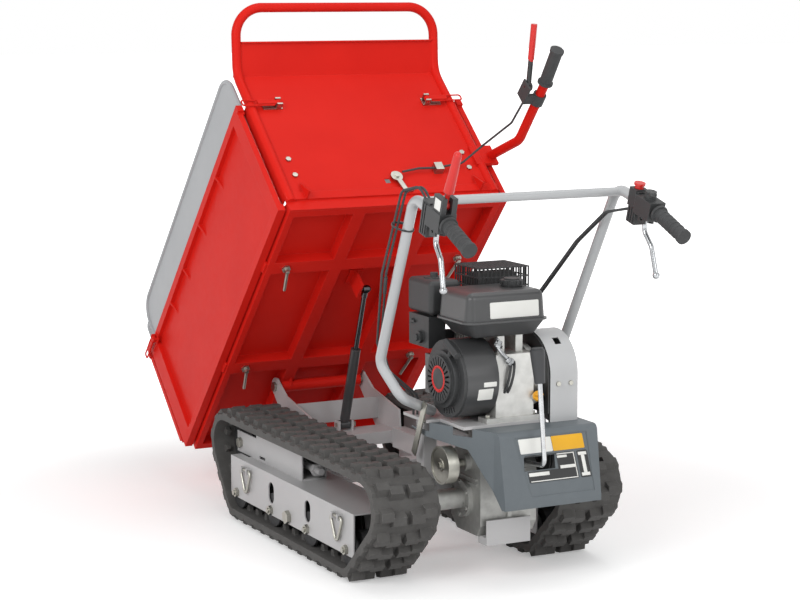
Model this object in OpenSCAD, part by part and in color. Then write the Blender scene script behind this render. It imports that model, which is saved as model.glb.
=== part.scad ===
// Tracked power carrier with a tipping bed, in millimetres.
// X is the machine's right, Y is forward, Z is up. It is drawn about a datum on the ground between the tracks,
// and the whole is then moved so that the origin is on the ground under the middle of its box.

/* [Tracks] */
// Width of each rubber track
track_width = 180; // [174:1:190]
// Distance from the middle of the machine to the inner edge of a track
track_inner = 174; // [172:1:182]
// Height of the sprocket and idler axles
wheel_height = 205; // [203:1:211]
// Sprocket axle behind the datum
sprocket_back = 412; // [409:1:417]
// Idler axle ahead of the datum
idler_ahead = 448; // [444:1:456]
// End rollers from the middle of the ground contact
roller_reach = 348; // [342:1:352]
// Radius of the bottom rollers
roller_radius = 45; // [43:1:46]
// Height of the tread lugs
lug_height = 18; // [15:1:20]
// Thickness of the rubber belt
belt_thickness = 16; // [14:1:17]

/* [Bed] */
// Length of the bed along the floor
bed_length = 1027; // [1010:1:1050]
// Width over the side panels
bed_width = 692; // [688:1:712]
// Height of the red side panels
side_height = 359; // [340:1:370]
// Height of the grey extensions above the side panels
extension_height = 150; // [130:1:170]
// Angle to which the bed is tipped
tip_angle = 48; // [44:1:50]
// Hinge axle ahead of the datum
hinge_ahead = 565; // [562:1:575]
// Height of the hinge axle
hinge_height = 331; // [329:1:338]
// Rear edge of the bed behind the hinge axle
hinge_to_rear = 752; // [745:1:756]
// Floor above the hinge axle
floor_rise = 33; // [33:1:36]
// Height of the headboard's kink above the floor
kink_rise = 473; // [450:1:490]
// Length of the sloping top of the headboard
flare_length = 184; // [170:1:195]

/* [Engine and drive] */
// Crankshaft behind the datum
crank_back = 415; // [413:1:418]
// Height of the crankshaft
crank_height = 512; // [510:1:518]
// Height of the engine deck
deck_height = 405; // [404:1:407]
// Radius of the blower housing
blower_radius = 98; // [92:1:100]
// Height of the fuel tank
tank_tall = 115; // [105:1:125]
// Radius of the engine pulley
engine_pulley_radius = 48; // [44:1:52]
// Radius of the gearbox pulley
gearbox_pulley_radius = 66; // [62:1:70]

/* [Handlebar] */
// Radius of the handlebar tube
tube_radius = 13; // [12:0.5:14]
// Half width of the handlebar at the grips
grip_half = 288; // [284:1:294]
// Height of the top bend
bar_height = 984; // [960:1:1000]
// Length of the grips
grip_length = 120; // [110:1:130]

/* [Hidden] */
$fn = 48;
// running clearances
fit = 0.08;
bend_swell = 0.15;
gap = 0.5;
slide_gap = 0.3;
// track and wheels
link_pitch = 60;
sprocket_teeth = 8;
track_mid = track_inner + track_width / 2;
belt_in = sprocket_teeth * link_pitch / (2 * PI) - belt_thickness / 2;
roller_in = roller_radius + gap;
roller_z = lug_height + belt_thickness + roller_in;
roller_mid = 36;
function roller_y(k) = roller_mid + k * roller_reach;
drum_half = track_width / 2 - 48;
horn_in = drum_half + 4;
horn_wide = 12;
horn_tall = 16;
plate_in = drum_half + 29;
plate = 4;
groove = 30;
groove_deep = 8;
wheels = [
    [idler_ahead, wheel_height, belt_in],
    [-sprocket_back, wheel_height, belt_in],
    [roller_y(-1), roller_z, roller_in],
    [roller_y(1), roller_z, roller_in]
];
roller_axle = 9;
idler_axle = 10;
shaft_r = 14;
hub_r = 28;
frame_top = wheel_height - 27;
frame_bottom = roller_z - 14;
frame_front = idler_ahead - 20;
frame_back = sprocket_back - 59;
fork_half = 36;
box_tall = 68;
ring_z = frame_top - 20;
ring_x = track_mid + plate_in + plate + 8;
ring_y = [307, -271];
// chassis
beam_out = track_inner - 16;
beam_in = beam_out - 40;
beam_bottom = 174;
beam_top = 230;
deck_low = deck_height - 8;
deck_front = -260;
ear_in = 135;
ear_wide = 6;
pin_r = 8;
strut_y = hinge_ahead - 162;
strut_z = hinge_height - 94;
// gearbox
box_left = -60;
box_right = 100;
drive_y = -430;
drive_z = 298;
tube_r = 26;
// belt drive and console
console_right = 222;
console_top = deck_height - 7;
belt_x = 140;
belt_wide = 24;
// bed, in its own lowered frame about the hinge axle
bed_rear = -hinge_to_rear;
bed_front = bed_length - hinge_to_rear;
floor_in = bed_width / 2 - 28;
side_in = floor_in + 6;
side_out = bed_width / 2;
side_skin = side_in + 6;
side_top = floor_rise + side_height;
rear_cross = -525;
front_cross = -98;
cross_half = 22;
kink_w = floor_rise + kink_rise;
hoop_x = floor_in - 13;
flare = flare_length * sqrt(0.5);
gate_u = bed_front + 4;
gate_pin_u = bed_front + 12;
gate_pin_w = floor_rise - 5;
toggle_w = side_top - 6;
handle_x = floor_in + 24;
toggle_x = floor_in - 90;
strut_top_u = -434;
strut_top_w = -14;
// engine
cy = -crank_back;
cz = crank_height;
tank_z = cz + 106;
tank_top = tank_z + tank_tall;
cover_r = 105;
// handlebar places, for the right side
bend_pt = [282, -568, bar_height];
grip_a = [grip_half - 1, -740, bar_height - 48];
grip_dir = [2, -111, -50] / norm([2, -111, -50]);
grip_b = grip_a + grip_dir * grip_length;
slope = atan2(48, 172);
housing_pt = bend_pt + (grip_a - bend_pt) * 0.76;
steer_pt = housing_pt + [0, 8, -30];
switch_pt = bend_pt + (grip_a - bend_pt) * 0.5;

// helpers

// a profile drawn in y and z, pushed along x from x0
module yz(x0, wide) {
    translate([x0, 0, 0]) rotate([90, 0, 90]) linear_extrude(wide) children();
}

module on_bed() {
    translate([0, hinge_ahead, hinge_height]) rotate([-tip_angle, 0, 0]) children();
}

module left() {
    mirror([1, 0, 0]) children();
}

module both() {
    children();
    left() children();
}

// a box by its low and high corners
module box(a, b) {
    translate(a) cube(b - a);
}

// a cylinder along x
module axle(r, x0, x1, y, z, sides = 48) {
    translate([x0, y, z]) rotate([0, 90, 0]) cylinder(r = r, h = x1 - x0, $fn = sides);
}

// a round bar that tapers between two points
module cone(a, b, r1, r2) {
    d = b - a;
    translate(a) rotate([0, acos(d[2] / norm(d)), atan2(d[1], d[0])]) cylinder(r1 = r1, r2 = r2, h = norm(d));
}

// a round bar between two points
module rod(a, b, r, sides = 48) {
    d = b - a;
    translate(a) rotate([0, acos(d[2] / norm(d)), atan2(d[1], d[0])]) cylinder(r = r, h = norm(d), $fn = sides);
}

function unit(v) = v / norm(v);
function bend_angle(a, p, b) = acos(max(-1, min(1, unit(p - a) * unit(b - p))));
function bend_cut(a, p, b, radius) = radius * tan(bend_angle(a, p, b) / 2);

// one bent corner of a tube
module elbow(a, p, b, r, radius, sides) {
    d1 = unit(p - a);
    d2 = unit(b - p);
    n = unit(d2 - d1 * (d1 * d2));
    o = p - d1 * bend_cut(a, p, b, radius) + n * radius;
    q = -n;
    t = cross(q, d1);
    multmatrix([
        [q[0], d1[0], t[0], o[0]],
        [q[1], d1[1], t[1], o[1]],
        [q[2], d1[2], t[2], o[2]],
        [0, 0, 0, 1]
    ])
        rotate_extrude(angle = bend_angle(a, p, b), $fn = 72) translate([radius, 0]) circle(r = r, $fn = sides);
}

// a tube along straight runs with rounded corners
module pipe(pts, r, radius, sides = 32) {
    last = len(pts) - 1;
    // the straight runs end just inside the slightly fuller bends
    overlap = sqrt(0.2 * radius);
    for (i = [0 : last - 1]) {
        d = unit(pts[i + 1] - pts[i]);
        c0 = i == 0 ? 0 : bend_cut(pts[i - 1], pts[i], pts[i + 1], radius) - overlap;
        c1 = i == last - 1 ? 0 : bend_cut(pts[i], pts[i + 1], pts[i + 2], radius) - overlap;
        rod(pts[i] + d * c0, pts[i + 1] - d * c1, r, sides);
    }
    for (i = [1 : last - 1]) {
        elbow(pts[i - 1], pts[i], pts[i + 1], r + bend_swell, radius, sides);
    }
}

// a rounded box as a shell blank
module soft_box(a, b, r) {
    hull() {
        for (x = [a[0] + r, b[0] - r]) {
            for (y = [a[1] + r, b[1] - r]) {
                for (z = [a[2] + r, b[2] - r]) {
                    translate([x, y, z]) sphere(r = r, $fn = 24);
                }
            }
        }
    }
}

// belt loops round wheels given as y, z and radius, in order against the clock

function run_normal(a, b) = let(
    d = [b[0] - a[0], b[1] - a[1]],
    u = d / norm(d),
    k = (a[2] - b[2]) / norm(d)
) [u[1], -u[0]] * sqrt(1 - k * k) + u * k;

function on_wheel(w, m, grow) = [w[0], w[1]] + m * (w[2] + grow);

module loop(ws, grow) {
    n = len(ws);
    polygon([
        for (i = [0 : n - 1])
            for (e = [0, 1])
                on_wheel(ws[(i + e) % n], run_normal(ws[i], ws[(i + 1) % n]), grow)
    ]);
    for (w = ws) {
        translate([w[0], w[1]]) circle(r = w[2] + grow, $fn = 96);
    }
}

// places along the middle of the track belt

half_belt = belt_thickness / 2;
function wheel(i) = wheels[i % 4];
function normal_of(i) = run_normal(wheel(i), wheel(i + 1));
function angle_of(i) = atan2(normal_of(i)[1], normal_of(i)[0]);
function run_start(i) = on_wheel(wheel(i), normal_of(i), half_belt);
function run_end(i) = on_wheel(wheel(i + 1), normal_of(i), half_belt);
function run_of(i) = norm(run_end(i) - run_start(i));
function turn_of(i) = (angle_of(i + 1) - angle_of(i) + 720) % 360;
function arc_of(i) = (wheel(i + 1)[2] + half_belt) * turn_of(i) * PI / 180;
function leg_of(i) = run_of(i) + arc_of(i);
function track_loop() = leg_of(0) + leg_of(1) + leg_of(2) + leg_of(3);
function along_run(i, s) = run_start(i) + [-normal_of(i)[1], normal_of(i)[0]] * s;
function along_arc(i, g) = on_wheel(wheel(i + 1), [cos(g), sin(g)], half_belt);
function place(s, i = 0) =
    s < run_of(i) ? concat(along_run(i, s), angle_of(i)) :
    s < run_of(i) + arc_of(i) ? let(g = angle_of(i) + (s - run_of(i)) / arc_of(i) * turn_of(i))
        concat(along_arc(i, g), g) :
    place(s - run_of(i) - arc_of(i), i + 1);

links = round(track_loop() / link_pitch);
link_step = track_loop() / links;

// the same profile at every link, drawn with the outside of the belt upward
module each_link(shift) {
    for (k = [0 : links - 1]) {
        p = place((k + shift) * link_step);
        translate([p[0], p[1]]) rotate(p[2] - 90) children();
    }
}

module lug_profile(tall) {
    top = half_belt + tall;
    polygon([[-21, half_belt - 5], [21, half_belt - 5], [11, top], [-11, top]]);
}

// one row of lugs on each half of the track, from in to out measured from its edges
module lug_rows(from, wide, shift, tall) {
    for (x = [track_inner + from, track_inner + track_width - from - wide]) {
        yz(x, wide) each_link(shift) lug_profile(tall);
    }
}

module horn_profile() {
    foot = half_belt - 3;
    tip = half_belt + horn_tall;
    polygon([[-11, -foot], [-6, -tip], [6, -tip], [11, -foot]]);
}

// tracks and their wheels, for the right side

module track() {
    color("#484745") {
        difference() {
            union() {
                yz(track_inner, track_width) difference() {
                    loop(wheels, belt_thickness);
                    loop(wheels, 0);
                }
                // the lugs are low at the edges and step forward towards the middle
                lug_rows(0, 14, 0.25, 6);
                lug_rows(14, 34, 0.25, lug_height);
                lug_rows(46, track_width / 2 - 54, 0.42, lug_height);
            }
            yz(track_mid - groove / 2, groove) loop(wheels, groove_deep);
        }
        for (x = [track_mid - horn_in - horn_wide, track_mid + horn_in]) {
            yz(x, horn_wide) each_link(0.5) horn_profile();
        }
    }
}

module sprocket(inner) {
    tip = belt_in + 4;
    color("#6a6c6e") {
        yz(track_mid - 10, 20) translate([-sprocket_back, wheel_height]) difference() {
            union() {
                circle(r = belt_in - 12);
                for (k = [0 : sprocket_teeth - 1]) {
                    rotate(k * 360 / sprocket_teeth) polygon([[-15, 20], [15, 20], [7, tip], [-7, tip]]);
                }
            }
            for (k = [0 : 5]) {
                rotate(k * 60) translate([0, 37]) circle(r = 4);
            }
        }
        axle(hub_r, track_inner + 10, track_mid + 14, -sprocket_back, wheel_height);
        axle(shaft_r, inner, track_inner + 10, -sprocket_back, wheel_height);
    }
}

module idler() {
    color("#3c3e40") difference() {
        union() {
            axle(belt_in - gap, track_mid - 28, track_mid + 28, idler_ahead, wheel_height, 72);
            axle(22, track_mid - 30.5, track_mid + 30.5, idler_ahead, wheel_height);
        }
        axle(idler_axle + fit, track_mid - 40, track_mid + 40, idler_ahead, wheel_height);
    }
}

module roller(y) {
    color("#303234") difference() {
        union() {
            axle(roller_radius, track_mid - drum_half, track_mid + drum_half, y, roller_z, 72);
            axle(20, track_mid - drum_half - 28, track_mid + drum_half + 28, y, roller_z);
            for (x = [track_mid - drum_half - 26, track_mid + drum_half + 18]) {
                axle(roller_radius, x, x + 8, y, roller_z, 72);
            }
        }
        axle(roller_axle + fit, track_mid - 100, track_mid + 100, y, roller_z);
    }
}

// the lower front corner keeps clear of the belt
module frame_plate() {
    m = normal_of(3);
    reach = m * [roller_y(1), roller_z] + roller_in - 8;
    polygon([
        [-frame_back, frame_bottom], [(reach - m[1] * frame_bottom) / m[0], frame_bottom],
        [frame_front, (reach - m[0] * frame_front) / m[1]], [frame_front, frame_top], [-frame_back, frame_top]
    ]);
}

module frame_slot(y) {
    translate([y, frame_bottom + 50]) circle(r = 18);
    translate([y, frame_bottom + 72]) circle(r = 18);
    translate([y - 18, frame_bottom + 50]) square([36, 22]);
}

module track_frame() {
    out = plate_in + plate;
    box_back = idler_ahead - 410;
    box_front = idler_ahead - 108;
    color("#bdbbbb") {
        yz(track_mid + plate_in, plate) difference() {
            frame_plate();
            frame_slot(roller_y(1 / 3));
            frame_slot(roller_y(-1 / 3));
        }
        yz(track_mid - out, plate) frame_plate();
        difference() {
            box([track_mid - plate_in, -frame_back, frame_top - plate],
                [track_mid + plate_in, frame_front, frame_top]);
            box([track_mid - 44, idler_ahead - 75, frame_top - 20],
                [track_mid + 44, frame_front + 1, frame_top + 1]);
            // room for the sprocket's teeth
            box([track_mid - 22, -frame_back - 1, frame_top - 20],
                [track_mid + 22, -frame_back + 26, frame_top + 1]);
        }
        difference() {
            box([track_mid - fork_half, box_back, frame_top],
                [track_mid + fork_half, box_front, frame_top + box_tall]);
            box([track_mid - fork_half + 4, box_back - 1, frame_top + 4],
                [track_mid + fork_half - 4, box_front - 4, frame_top + box_tall - 4]);
            box([track_mid + fork_half - 5, box_front - 60, frame_top + 6],
                [track_mid + fork_half + 1, box_front - 20, frame_top + 14]);
        }
        for (x = [track_mid - fork_half, track_mid + fork_half - 5]) {
            box([x, box_front - 2, frame_top], [x + 5, idler_ahead + 24, wheel_height + 32]);
        }
        axle(idler_axle, track_mid - fork_half, track_mid + fork_half, idler_ahead, wheel_height);
        for (k = [-1, -1 / 3, 1 / 3, 1]) {
            axle(roller_axle, track_mid - plate_in, track_mid + plate_in, roller_y(k), roller_z);
        }
        // tension screw at the open end of the box
        translate([track_mid, box_back, frame_top + 30]) rotate([-90, 0, 0]) {
            translate([0, 0, -46]) cylinder(r = 9, h = box_front - box_back + 44);
            translate([0, 0, -22]) cylinder(r = 17, h = 14, $fn = 6);
        }
        // eyes of the tie-down rings
        for (y = ring_y) {
            for (d = [-19.5, 14.5]) {
                difference() {
                    box([track_mid + out, y + d, ring_z - 8], [ring_x + 7, y + d + 5, ring_z + 8]);
                    translate([ring_x, y + d - 1, ring_z]) rotate([-90, 0, 0]) cylinder(r = 4.3, h = 7);
                }
            }
        }
    }
}

module tie_rings() {
    color("#8f9192") for (y = ring_y) {
        pipe([
            [ring_x, y - 4, ring_z], [ring_x, y - 36, ring_z], [ring_x, y, ring_z - 74],
            [ring_x, y + 36, ring_z], [ring_x, y + 4, ring_z]
        ], 4, 10, 24);
        translate([ring_x, y - 4, ring_z]) rotate([-90, 0, 0]) cylinder(r = 4, h = 8, $fn = 24);
    }
}

// chassis

module ear_profile() {
    y = hinge_ahead;
    z = hinge_height;
    difference() {
        union() {
            translate([y, z]) circle(r = 26);
            polygon([
                [y - 18, z + 18], [y - 74, z - 16], [y - 239, z - 50], [y - 253, beam_bottom], [y - 130, beam_bottom],
                [y + 22, z - 13]
            ]);
        }
        translate([y, z]) circle(r = pin_r + 0.05);
    }
}

module chassis_frame() {
    cross_end = track_mid - plate_in - plate;
    color("#bdbbbb") {
        both() {
            box([beam_in, -342, beam_bottom], [beam_out, hinge_ahead - 235, beam_top]);
            yz(ear_in, ear_wide) ear_profile();
            box([100, -342, beam_top], [136, -302, deck_low]);
        }
        // cross plate behind the hinge tube and channel under the strut
        box([-ear_in, hinge_ahead - 110, hinge_height - 96], [ear_in, hinge_ahead - 106, hinge_height - 34]);
        difference() {
            box([-ear_in, hinge_ahead - 235, hinge_height - 145], [ear_in, hinge_ahead - 140, strut_z - 16]);
            box([-ear_in - 1, hinge_ahead - 231, hinge_height - 146],
                [ear_in + 1, hinge_ahead - 144, strut_z - 20]);
        }
        for (x = [-23, 18]) {
            difference() {
                box([x, strut_y - 16, strut_z - 17], [x + 5, strut_y + 16, strut_z + 12]);
                axle(6.05, x - 1, x + 6, strut_y, strut_z);
            }
        }
        for (y = [-173, 157]) {
            box([-cross_end, y, beam_bottom - 46], [cross_end, y + 46, beam_bottom]);
        }
        box([-beam_out, -348, beam_bottom], [beam_out, -342, 262]);
        // engine deck
        box([-112, -505, deck_low], [122, deck_front, deck_height]);
        box([-152, -385, deck_low], [122, deck_front, deck_height]);
        box([122, deck_front - 46, deck_low], [152, deck_front, deck_height]);
        // skid bracket under the gearbox
        box([-50, -513, 116], [75, -420, 120]);
        box([-50, -513, 100], [75, -509, 164]);
        box([-50, -513, 100], [-46, -470, 119]);
        box([71, -513, 100], [75, -470, 119]);
    }
}

// gearbox and belt drive

module case_profile(grow) {
    polygon([
        [-348 + grow, 150], [-378 + grow, 120], [-480 - grow, 120], [-498 - grow, 148 - grow],
        [-498 - grow, 296 + grow],
        [-468 - grow, 338 + grow], [-384 + grow, 338 + grow], [-348 + grow, 312 + grow]
    ]);
}

module gearbox() {
    color("#b4b2ae") difference() {
        union() {
            yz(box_left, box_right - box_left) case_profile(0);
            yz(14, 12) intersection() {
                case_profile(7);
                translate([-600, 120]) square([252, 400]);
            }
            box([-40, -468, 330], [60, -400, deck_low]);
            for (x = [box_left - 12, box_right]) {
                axle(48, x, x + 12, -sprocket_back, wheel_height);
                for (k = [0 : 5]) {
                    head = x == box_right ? x + 12 : x - 4;
                    turn = k * 60 + 30;
                    axle(5, head, head + 4, -sprocket_back + 41 * cos(turn), wheel_height + 41 * sin(turn), 6);
                }
            }
            axle(tube_r, -track_inner - 8, box_left, -sprocket_back, wheel_height);
            axle(tube_r, box_right, track_inner + 8, -sprocket_back, wheel_height);
            axle(22, box_left - 14, box_left, drive_y, drive_z);
            axle(24, box_right, box_right + 14, drive_y, drive_z);
            // seat of the shift lever
            box([34, -524, 283], [54, -497, 291]);
            for (z = [246, 259]) {
                box([box_left - 4, -480, z], [box_left, -375, z + 5]);
            }
        }
        axle(shaft_r + fit, -track_inner - 20, box_left + 10, -sprocket_back, wheel_height);
        axle(shaft_r + fit, box_right - 10, track_inner + 20, -sprocket_back, wheel_height);
        axle(10 + fit, box_left - 20, box_left + 20, drive_y, drive_z);
        axle(12 + fit, box_right - 20, box_right + 20, drive_y, drive_z);
        translate([44, -512, 270]) cylinder(r = 5 + fit, h = 30);
    }
}

module brake_drum() {
    color("#a9aaa6") {
        difference() {
            axle(48, -138, -108, drive_y, drive_z, 72);
            axle(43, -132, -107, drive_y, drive_z, 72);
            axle(43, -139, -136, drive_y, drive_z, 72);
        }
        axle(16, -138, -108, drive_y, drive_z);
        axle(10, -108, box_left + 18, drive_y, drive_z);
        axle(8, -142, -138, drive_y, drive_z, 6);
    }
}

// a grooved pulley with its hub along x
module pulley(r, y, z) {
    half = belt_wide / 2;
    translate([belt_x + half, y, z]) rotate([0, 90, 0]) rotate_extrude($fn = 72) polygon([
        [0, -half], [r, -half], [r, -half + 4], [r - 13, -4], [r - 13, 4], [r, half - 4], [r, half], [0, half]
    ]);
}

module gearbox_pulley() {
    color("#55585a") {
        pulley(gearbox_pulley_radius, drive_y, drive_z);
        axle(12, box_right - 18, belt_x, drive_y, drive_z);
    }
}

module engine_pulley() {
    color("#55585a") {
        pulley(engine_pulley_radius, cy, cz);
        axle(11, 90, belt_x, cy, cz);
        axle(11, belt_x + belt_wide, belt_x + belt_wide + 8, cy, cz);
    }
}

module drive_belt() {
    ws = [[cy, cz, engine_pulley_radius - 8], [drive_y, drive_z, gearbox_pulley_radius - 8]];
    color("#262626") yz(belt_x + belt_wide / 2 - 4, 8) difference() {
        loop(ws, 8);
        loop(ws, 0);
    }
}

module cover_profile(inset) {
    translate([cy, cz]) circle(r = cover_r - inset, $fn = 96);
    translate([cy - cover_r + inset, console_top]) square([2 * (cover_r - inset), cz - console_top]);
}

module belt_cover() {
    color("#bfc0c1") {
        difference() {
            yz(125, 80) cover_profile(0);
            yz(124, 78.5) union() {
                cover_profile(2.5);
                translate([cy - cover_r + 2.5, console_top - 10]) square([2 * cover_r - 5, 60]);
            }
            // small latch hole at the top
            translate([158, cy - 72, cz + 50]) cube([18, 20, 60]);
        }
        difference() {
            yz(121, 4) cover_profile(3);
            axle(34, 120, 126, cy, cz);
            box([120, cy - cover_r, deck_low - 20], [126, cy + cover_r, deck_height + 14]);
        }
    }
}

// side view of the console, outside and inside

module console_side() {
    translate([-570, console_top - 16]) circle(r = 16);
    polygon([
        [-300, console_top], [-570, console_top], [-585.7, console_top - 13], [-609, 222], [-609, 209], [-596, 209],
        [-495, 345], [-300, 374]
    ]);
}

module console_room() {
    translate([-568, console_top - 18]) circle(r = 14);
    polygon([
        [-280, console_top - 4], [-568, console_top - 4], [-581.7, console_top - 15], [-604, 222], [-604, 190],
        [-280, 190]
    ]);
}

module console_plan(inset) {
    polygon([
        [console_right - inset, -640], [-46 + inset, -640], [-62 + inset, -566], [-150 + inset, -376],
        [-150 + inset, -300], [console_right - inset, -300]
    ]);
}

module console_cover() {
    color("#51575b") difference() {
        intersection() {
            yz(-200, 500) console_side();
            translate([0, 0, 100]) linear_extrude(400) console_plan(0);
        }
        intersection() {
            yz(-190, 480) console_room();
            translate([0, 0, 110]) linear_extrude(380) console_plan(4);
        }
        // room for the deck, the belt and the shift lever
        box([-154, -387, deck_low - 20], [124, -280, deck_height + 20]);
        box([-114, -507, deck_low - 20], [124, -280, deck_height + 20]);
        box([100, deck_front - 60, deck_low - 20], [154, -280, deck_height + 20]);
        box([120, cy - cover_r + 5, deck_low - 20], [199, cy + cover_r - 5, deck_height + 20]);
        box([8, -640, 300], [96, -570, 334]);
        // shallow panel on the rear face
        translate([0, -585.7, console_top - 13]) rotate([atan2(console_top - 235, 23.3), 0, 0])
            translate([0, 0, -1.8]) linear_extrude(10) polygon([[-17, -2], [190, -2], [204, -150], [22, -150]]);
    }
}

module shift_lever() {
    ball = [44, -512, 306];
    foot = [38, -614, 520];
    lean = unit([-3.5, 6.5, 74]);
    color("#9b9d9e") {
        pipe([ball, [44, -630, 318], foot + lean * 4], 6, 18);
        translate(ball) sphere(r = 10);
        translate(ball - [0, 0, 24]) cylinder(r = 5, h = 24);
        cone(foot, foot + lean * 82, 13, 19);
        rod(foot + lean * 81, foot + lean * 87, 15);
    }
}

// engine

module crankcase() {
    color("#c9c7c2") {
        difference() {
            union() {
                box([-14, cy - 76, deck_height + 12], [94, cy + 76, cz + 62]);
                axle(72, 94, 112, cy, cz, 72);
                axle(40, -17, -14, cy, cz, 72);
                translate([100, cy - 62, cz - 62]) rotate([60, 0, 0]) cylinder(r = 11, h = 24);
            }
            axle(11 + fit, 86, 130, cy, cz);
            translate([100, cy - 62, cz - 62]) rotate([60, 0, 0]) cylinder(r = 7, h = 30);
        }
        for (y = [cy - 84, cy + 40]) {
            box([-44, y, deck_height], [108, y + 44, deck_height + 12]);
        }
        // inclined cylinder with cooling fins and a valve cover
        translate([0, cy + 70, cz + 30]) rotate([18, 0, 0]) {
            box([4, -10, -40], [78, 104, 40]);
            for (k = [0 : 6]) {
                translate([-8, 14 + k * 12, -52]) cube([98, 5, 104]);
            }
            box([6, 104, -32], [72, 122, 32]);
        }
        // tank stays
        for (x = [10, 62]) {
            box([x, cy - 40, cz + 60], [x + 20, cy + 20, tank_z]);
        }
    }
}

module blower_housing() {
    color("#39393a") {
        difference() {
            union() {
                axle(blower_radius, -105, -17, cy, cz, 96);
                box([-92, cy, cz - 60], [-17, cy + 150, cz + 40]);
            }
            axle(blower_radius - 4, -106, -21, cy, cz, 96);
            box([-88, cy, cz - 56], [-21, cy + 146, cz + 36]);
        }
        // fan wheel hub seen through the cover
        axle(30, -96, -20, cy, cz);
    }
}

module recoil_cover() {
    color("#2f2f30") difference() {
        union() {
            axle(blower_radius - 1, -113, -105, cy, cz, 96);
            axle(72, -127, -113, cy, cz, 96);
            axle(60, -135, -127, cy, cz, 96);
        }
        axle(56, -120, -104, cy, cz, 72);
        axle(29, -136, -133, cy, cz, 72);
        for (k = [0 : 23]) {
            translate([-128, cy, cz]) rotate([k * 15, 0, 0]) translate([-10, -2.5, 34]) cube([24, 5, 22]);
        }
        for (k = [0 : 4]) {
            translate([-112, cy, cz]) rotate([150 + k * 9, 0, 0]) translate([-4, -3, 76]) cube([12, 6, 12]);
        }
    }
}

module starter_handle() {
    grip = [-123, cy, cz];
    out = [0, -46, 82] / norm([0, -46, 82]);
    color("#232324") {
        rod(grip + [0, -16, 96], grip + [0, -76, 68], 9);
        rod(grip + out * 90, grip + out * 72.6, 6);
    }
}

module fuel_tank() {
    color("#39393a") {
        hull() {
            for (x = [-80, 100]) {
                for (y = [cy - 70, cy + 48]) {
                    translate([x, y, tank_top - 18]) sphere(r = 18, $fn = 24);
                    translate([x, y, tank_z + 42]) cylinder(r = 22, h = 4, $fn = 24);
                }
            }
        }
        hull() {
            for (x = [-64, 92]) {
                for (y = [cy - 60, cy + 38]) {
                    translate([x, y, tank_z + 12]) sphere(r = 12, $fn = 24);
                }
            }
            for (x = [-80, 100]) {
                for (y = [cy - 70, cy + 48]) {
                    translate([x, y, tank_z + 38]) cylinder(r = 22, h = 2, $fn = 24);
                }
            }
        }
        // seam flange
        linear_extrude_at(tank_z + 39, 5) {
            for (x = [-80, 100]) {
                for (y = [cy - 70, cy + 48]) {
                    translate([x, y]) circle(r = 29);
                }
            }
            translate([-80, cy - 99]) square([180, 176]);
            translate([-109, cy - 70]) square([238, 118]);
        }
        translate([70, cy - 5, tank_top - 4]) cylinder(r = 22, h = 6);
    }
}

module linear_extrude_at(z, tall) {
    translate([0, 0, z]) linear_extrude(tall) children();
}

module fuel_cap() {
    color("#2b2b2c") translate([70, cy - 5, tank_top + 2.3]) {
        cylinder(r = 27, h = 14);
        cylinder(r = 20, h = 18);
        for (k = [0 : 11]) {
            rotate(k * 30) translate([25, -3, 2]) cube([5, 6, 11]);
        }
    }
}

module air_filter() {
    color("#343435") {
        soft_box([-114, cy + 82, cz + 146], [-26, cy + 208, cz + 232], 12);
        translate([-70, cy + 145, cz + 231]) cylinder(r = 26, h = 4);
        translate([-70, cy + 145, cz + 234]) cylinder(r = 10, h = 12, $fn = 24);
    }
}

module carburettor() {
    color("#2c2c2d") {
        box([-110, cy + 98, cz + 60], [-62, cy + 204, cz + 140]);
        box([-90, cy + 110, cz + 140], [-50, cy + 190, cz + 146]);
        box([-62, cy + 156, cz + 68], [4, cy + 168, cz + 94]);
        axle(16, -120, -110, cy + 140, cz + 84);
        axle(9, -126, -120, cy + 140, cz + 84, 6);
        axle(6, -116, -110, cy + 185, cz + 120, 24);
        box([-116, cy + 168, cz + 117], [-113, cy + 188, cz + 123]);
    }
}

// a straight wire of square section between two points along one axis
module wire(a, b) {
    half = [1.5, 1.5, 1.5];
    box(a - half, b + half);
}

module muffler() {
    x0 = 22;
    x1 = 166;
    y0 = cy + 76;
    y1 = cy + 200;
    z0 = cz + 184;
    z1 = cz + 256;
    bars_x = 12;
    bars_y = 10;
    color("#2a2b2c") {
        axle(44, x0 + 14, x1 - 14, (y0 + y1) / 2, z0 + 12, 72);
        translate([70, (y0 + y1) / 2, cz + 107.9]) cylinder(r = 13, h = 60);
        // wire guard
        for (z = [z0, z0 + 24, z0 + 48, z1]) {
            for (y = [y0, y1]) {
                wire([x0, y, z], [x1, y, z]);
            }
            for (x = [x0, x1]) {
                wire([x, y0, z], [x, y1, z]);
            }
        }
        for (k = [0 : bars_x]) {
            x = x0 + (x1 - x0) * k / bars_x;
            for (y = [y0, y1]) {
                wire([x, y, z0 - 4], [x, y, z1]);
            }
            wire([x, y0, z1], [x, y1, z1]);
        }
        for (k = [1 : bars_y - 1]) {
            y = y0 + (y1 - y0) * k / bars_y;
            for (x = [x0, x1]) {
                wire([x, y, z0 - 4], [x, y, z1]);
            }
            wire([x0, y, z1], [x1, y, z1]);
        }
        box([x0, y0 + 40, z0 + 6], [x0 + 20, y1 - 40, z0 + 10]);
        box([x1 - 20, y0 + 40, z0 + 6], [x1, y1 - 40, z0 + 10]);
    }
}

module dipstick() {
    color("#e8b21e") translate([100, cy - 62, cz - 62]) rotate([60, 0, 0]) {
        translate([0, 0, 24.4]) cylinder(r = 13, h = 7);
        translate([-10, -2.5, 31]) cube([20, 5, 9]);
        translate([0, 0, 2]) cylinder(r = 6.6, h = 23);
    }
}

// handlebar and controls

// one arm of the handlebar from its foot on the deck
module bar_arm(foot, knee) {
    pipe([
        foot + [0, 0, deck_height + tube_radius], knee + [0, 0, deck_height], [262, -345, deck_height + 147],
        bend_pt, grip_a, grip_b - grip_dir * 6
    ], tube_radius, 42);
}

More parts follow.
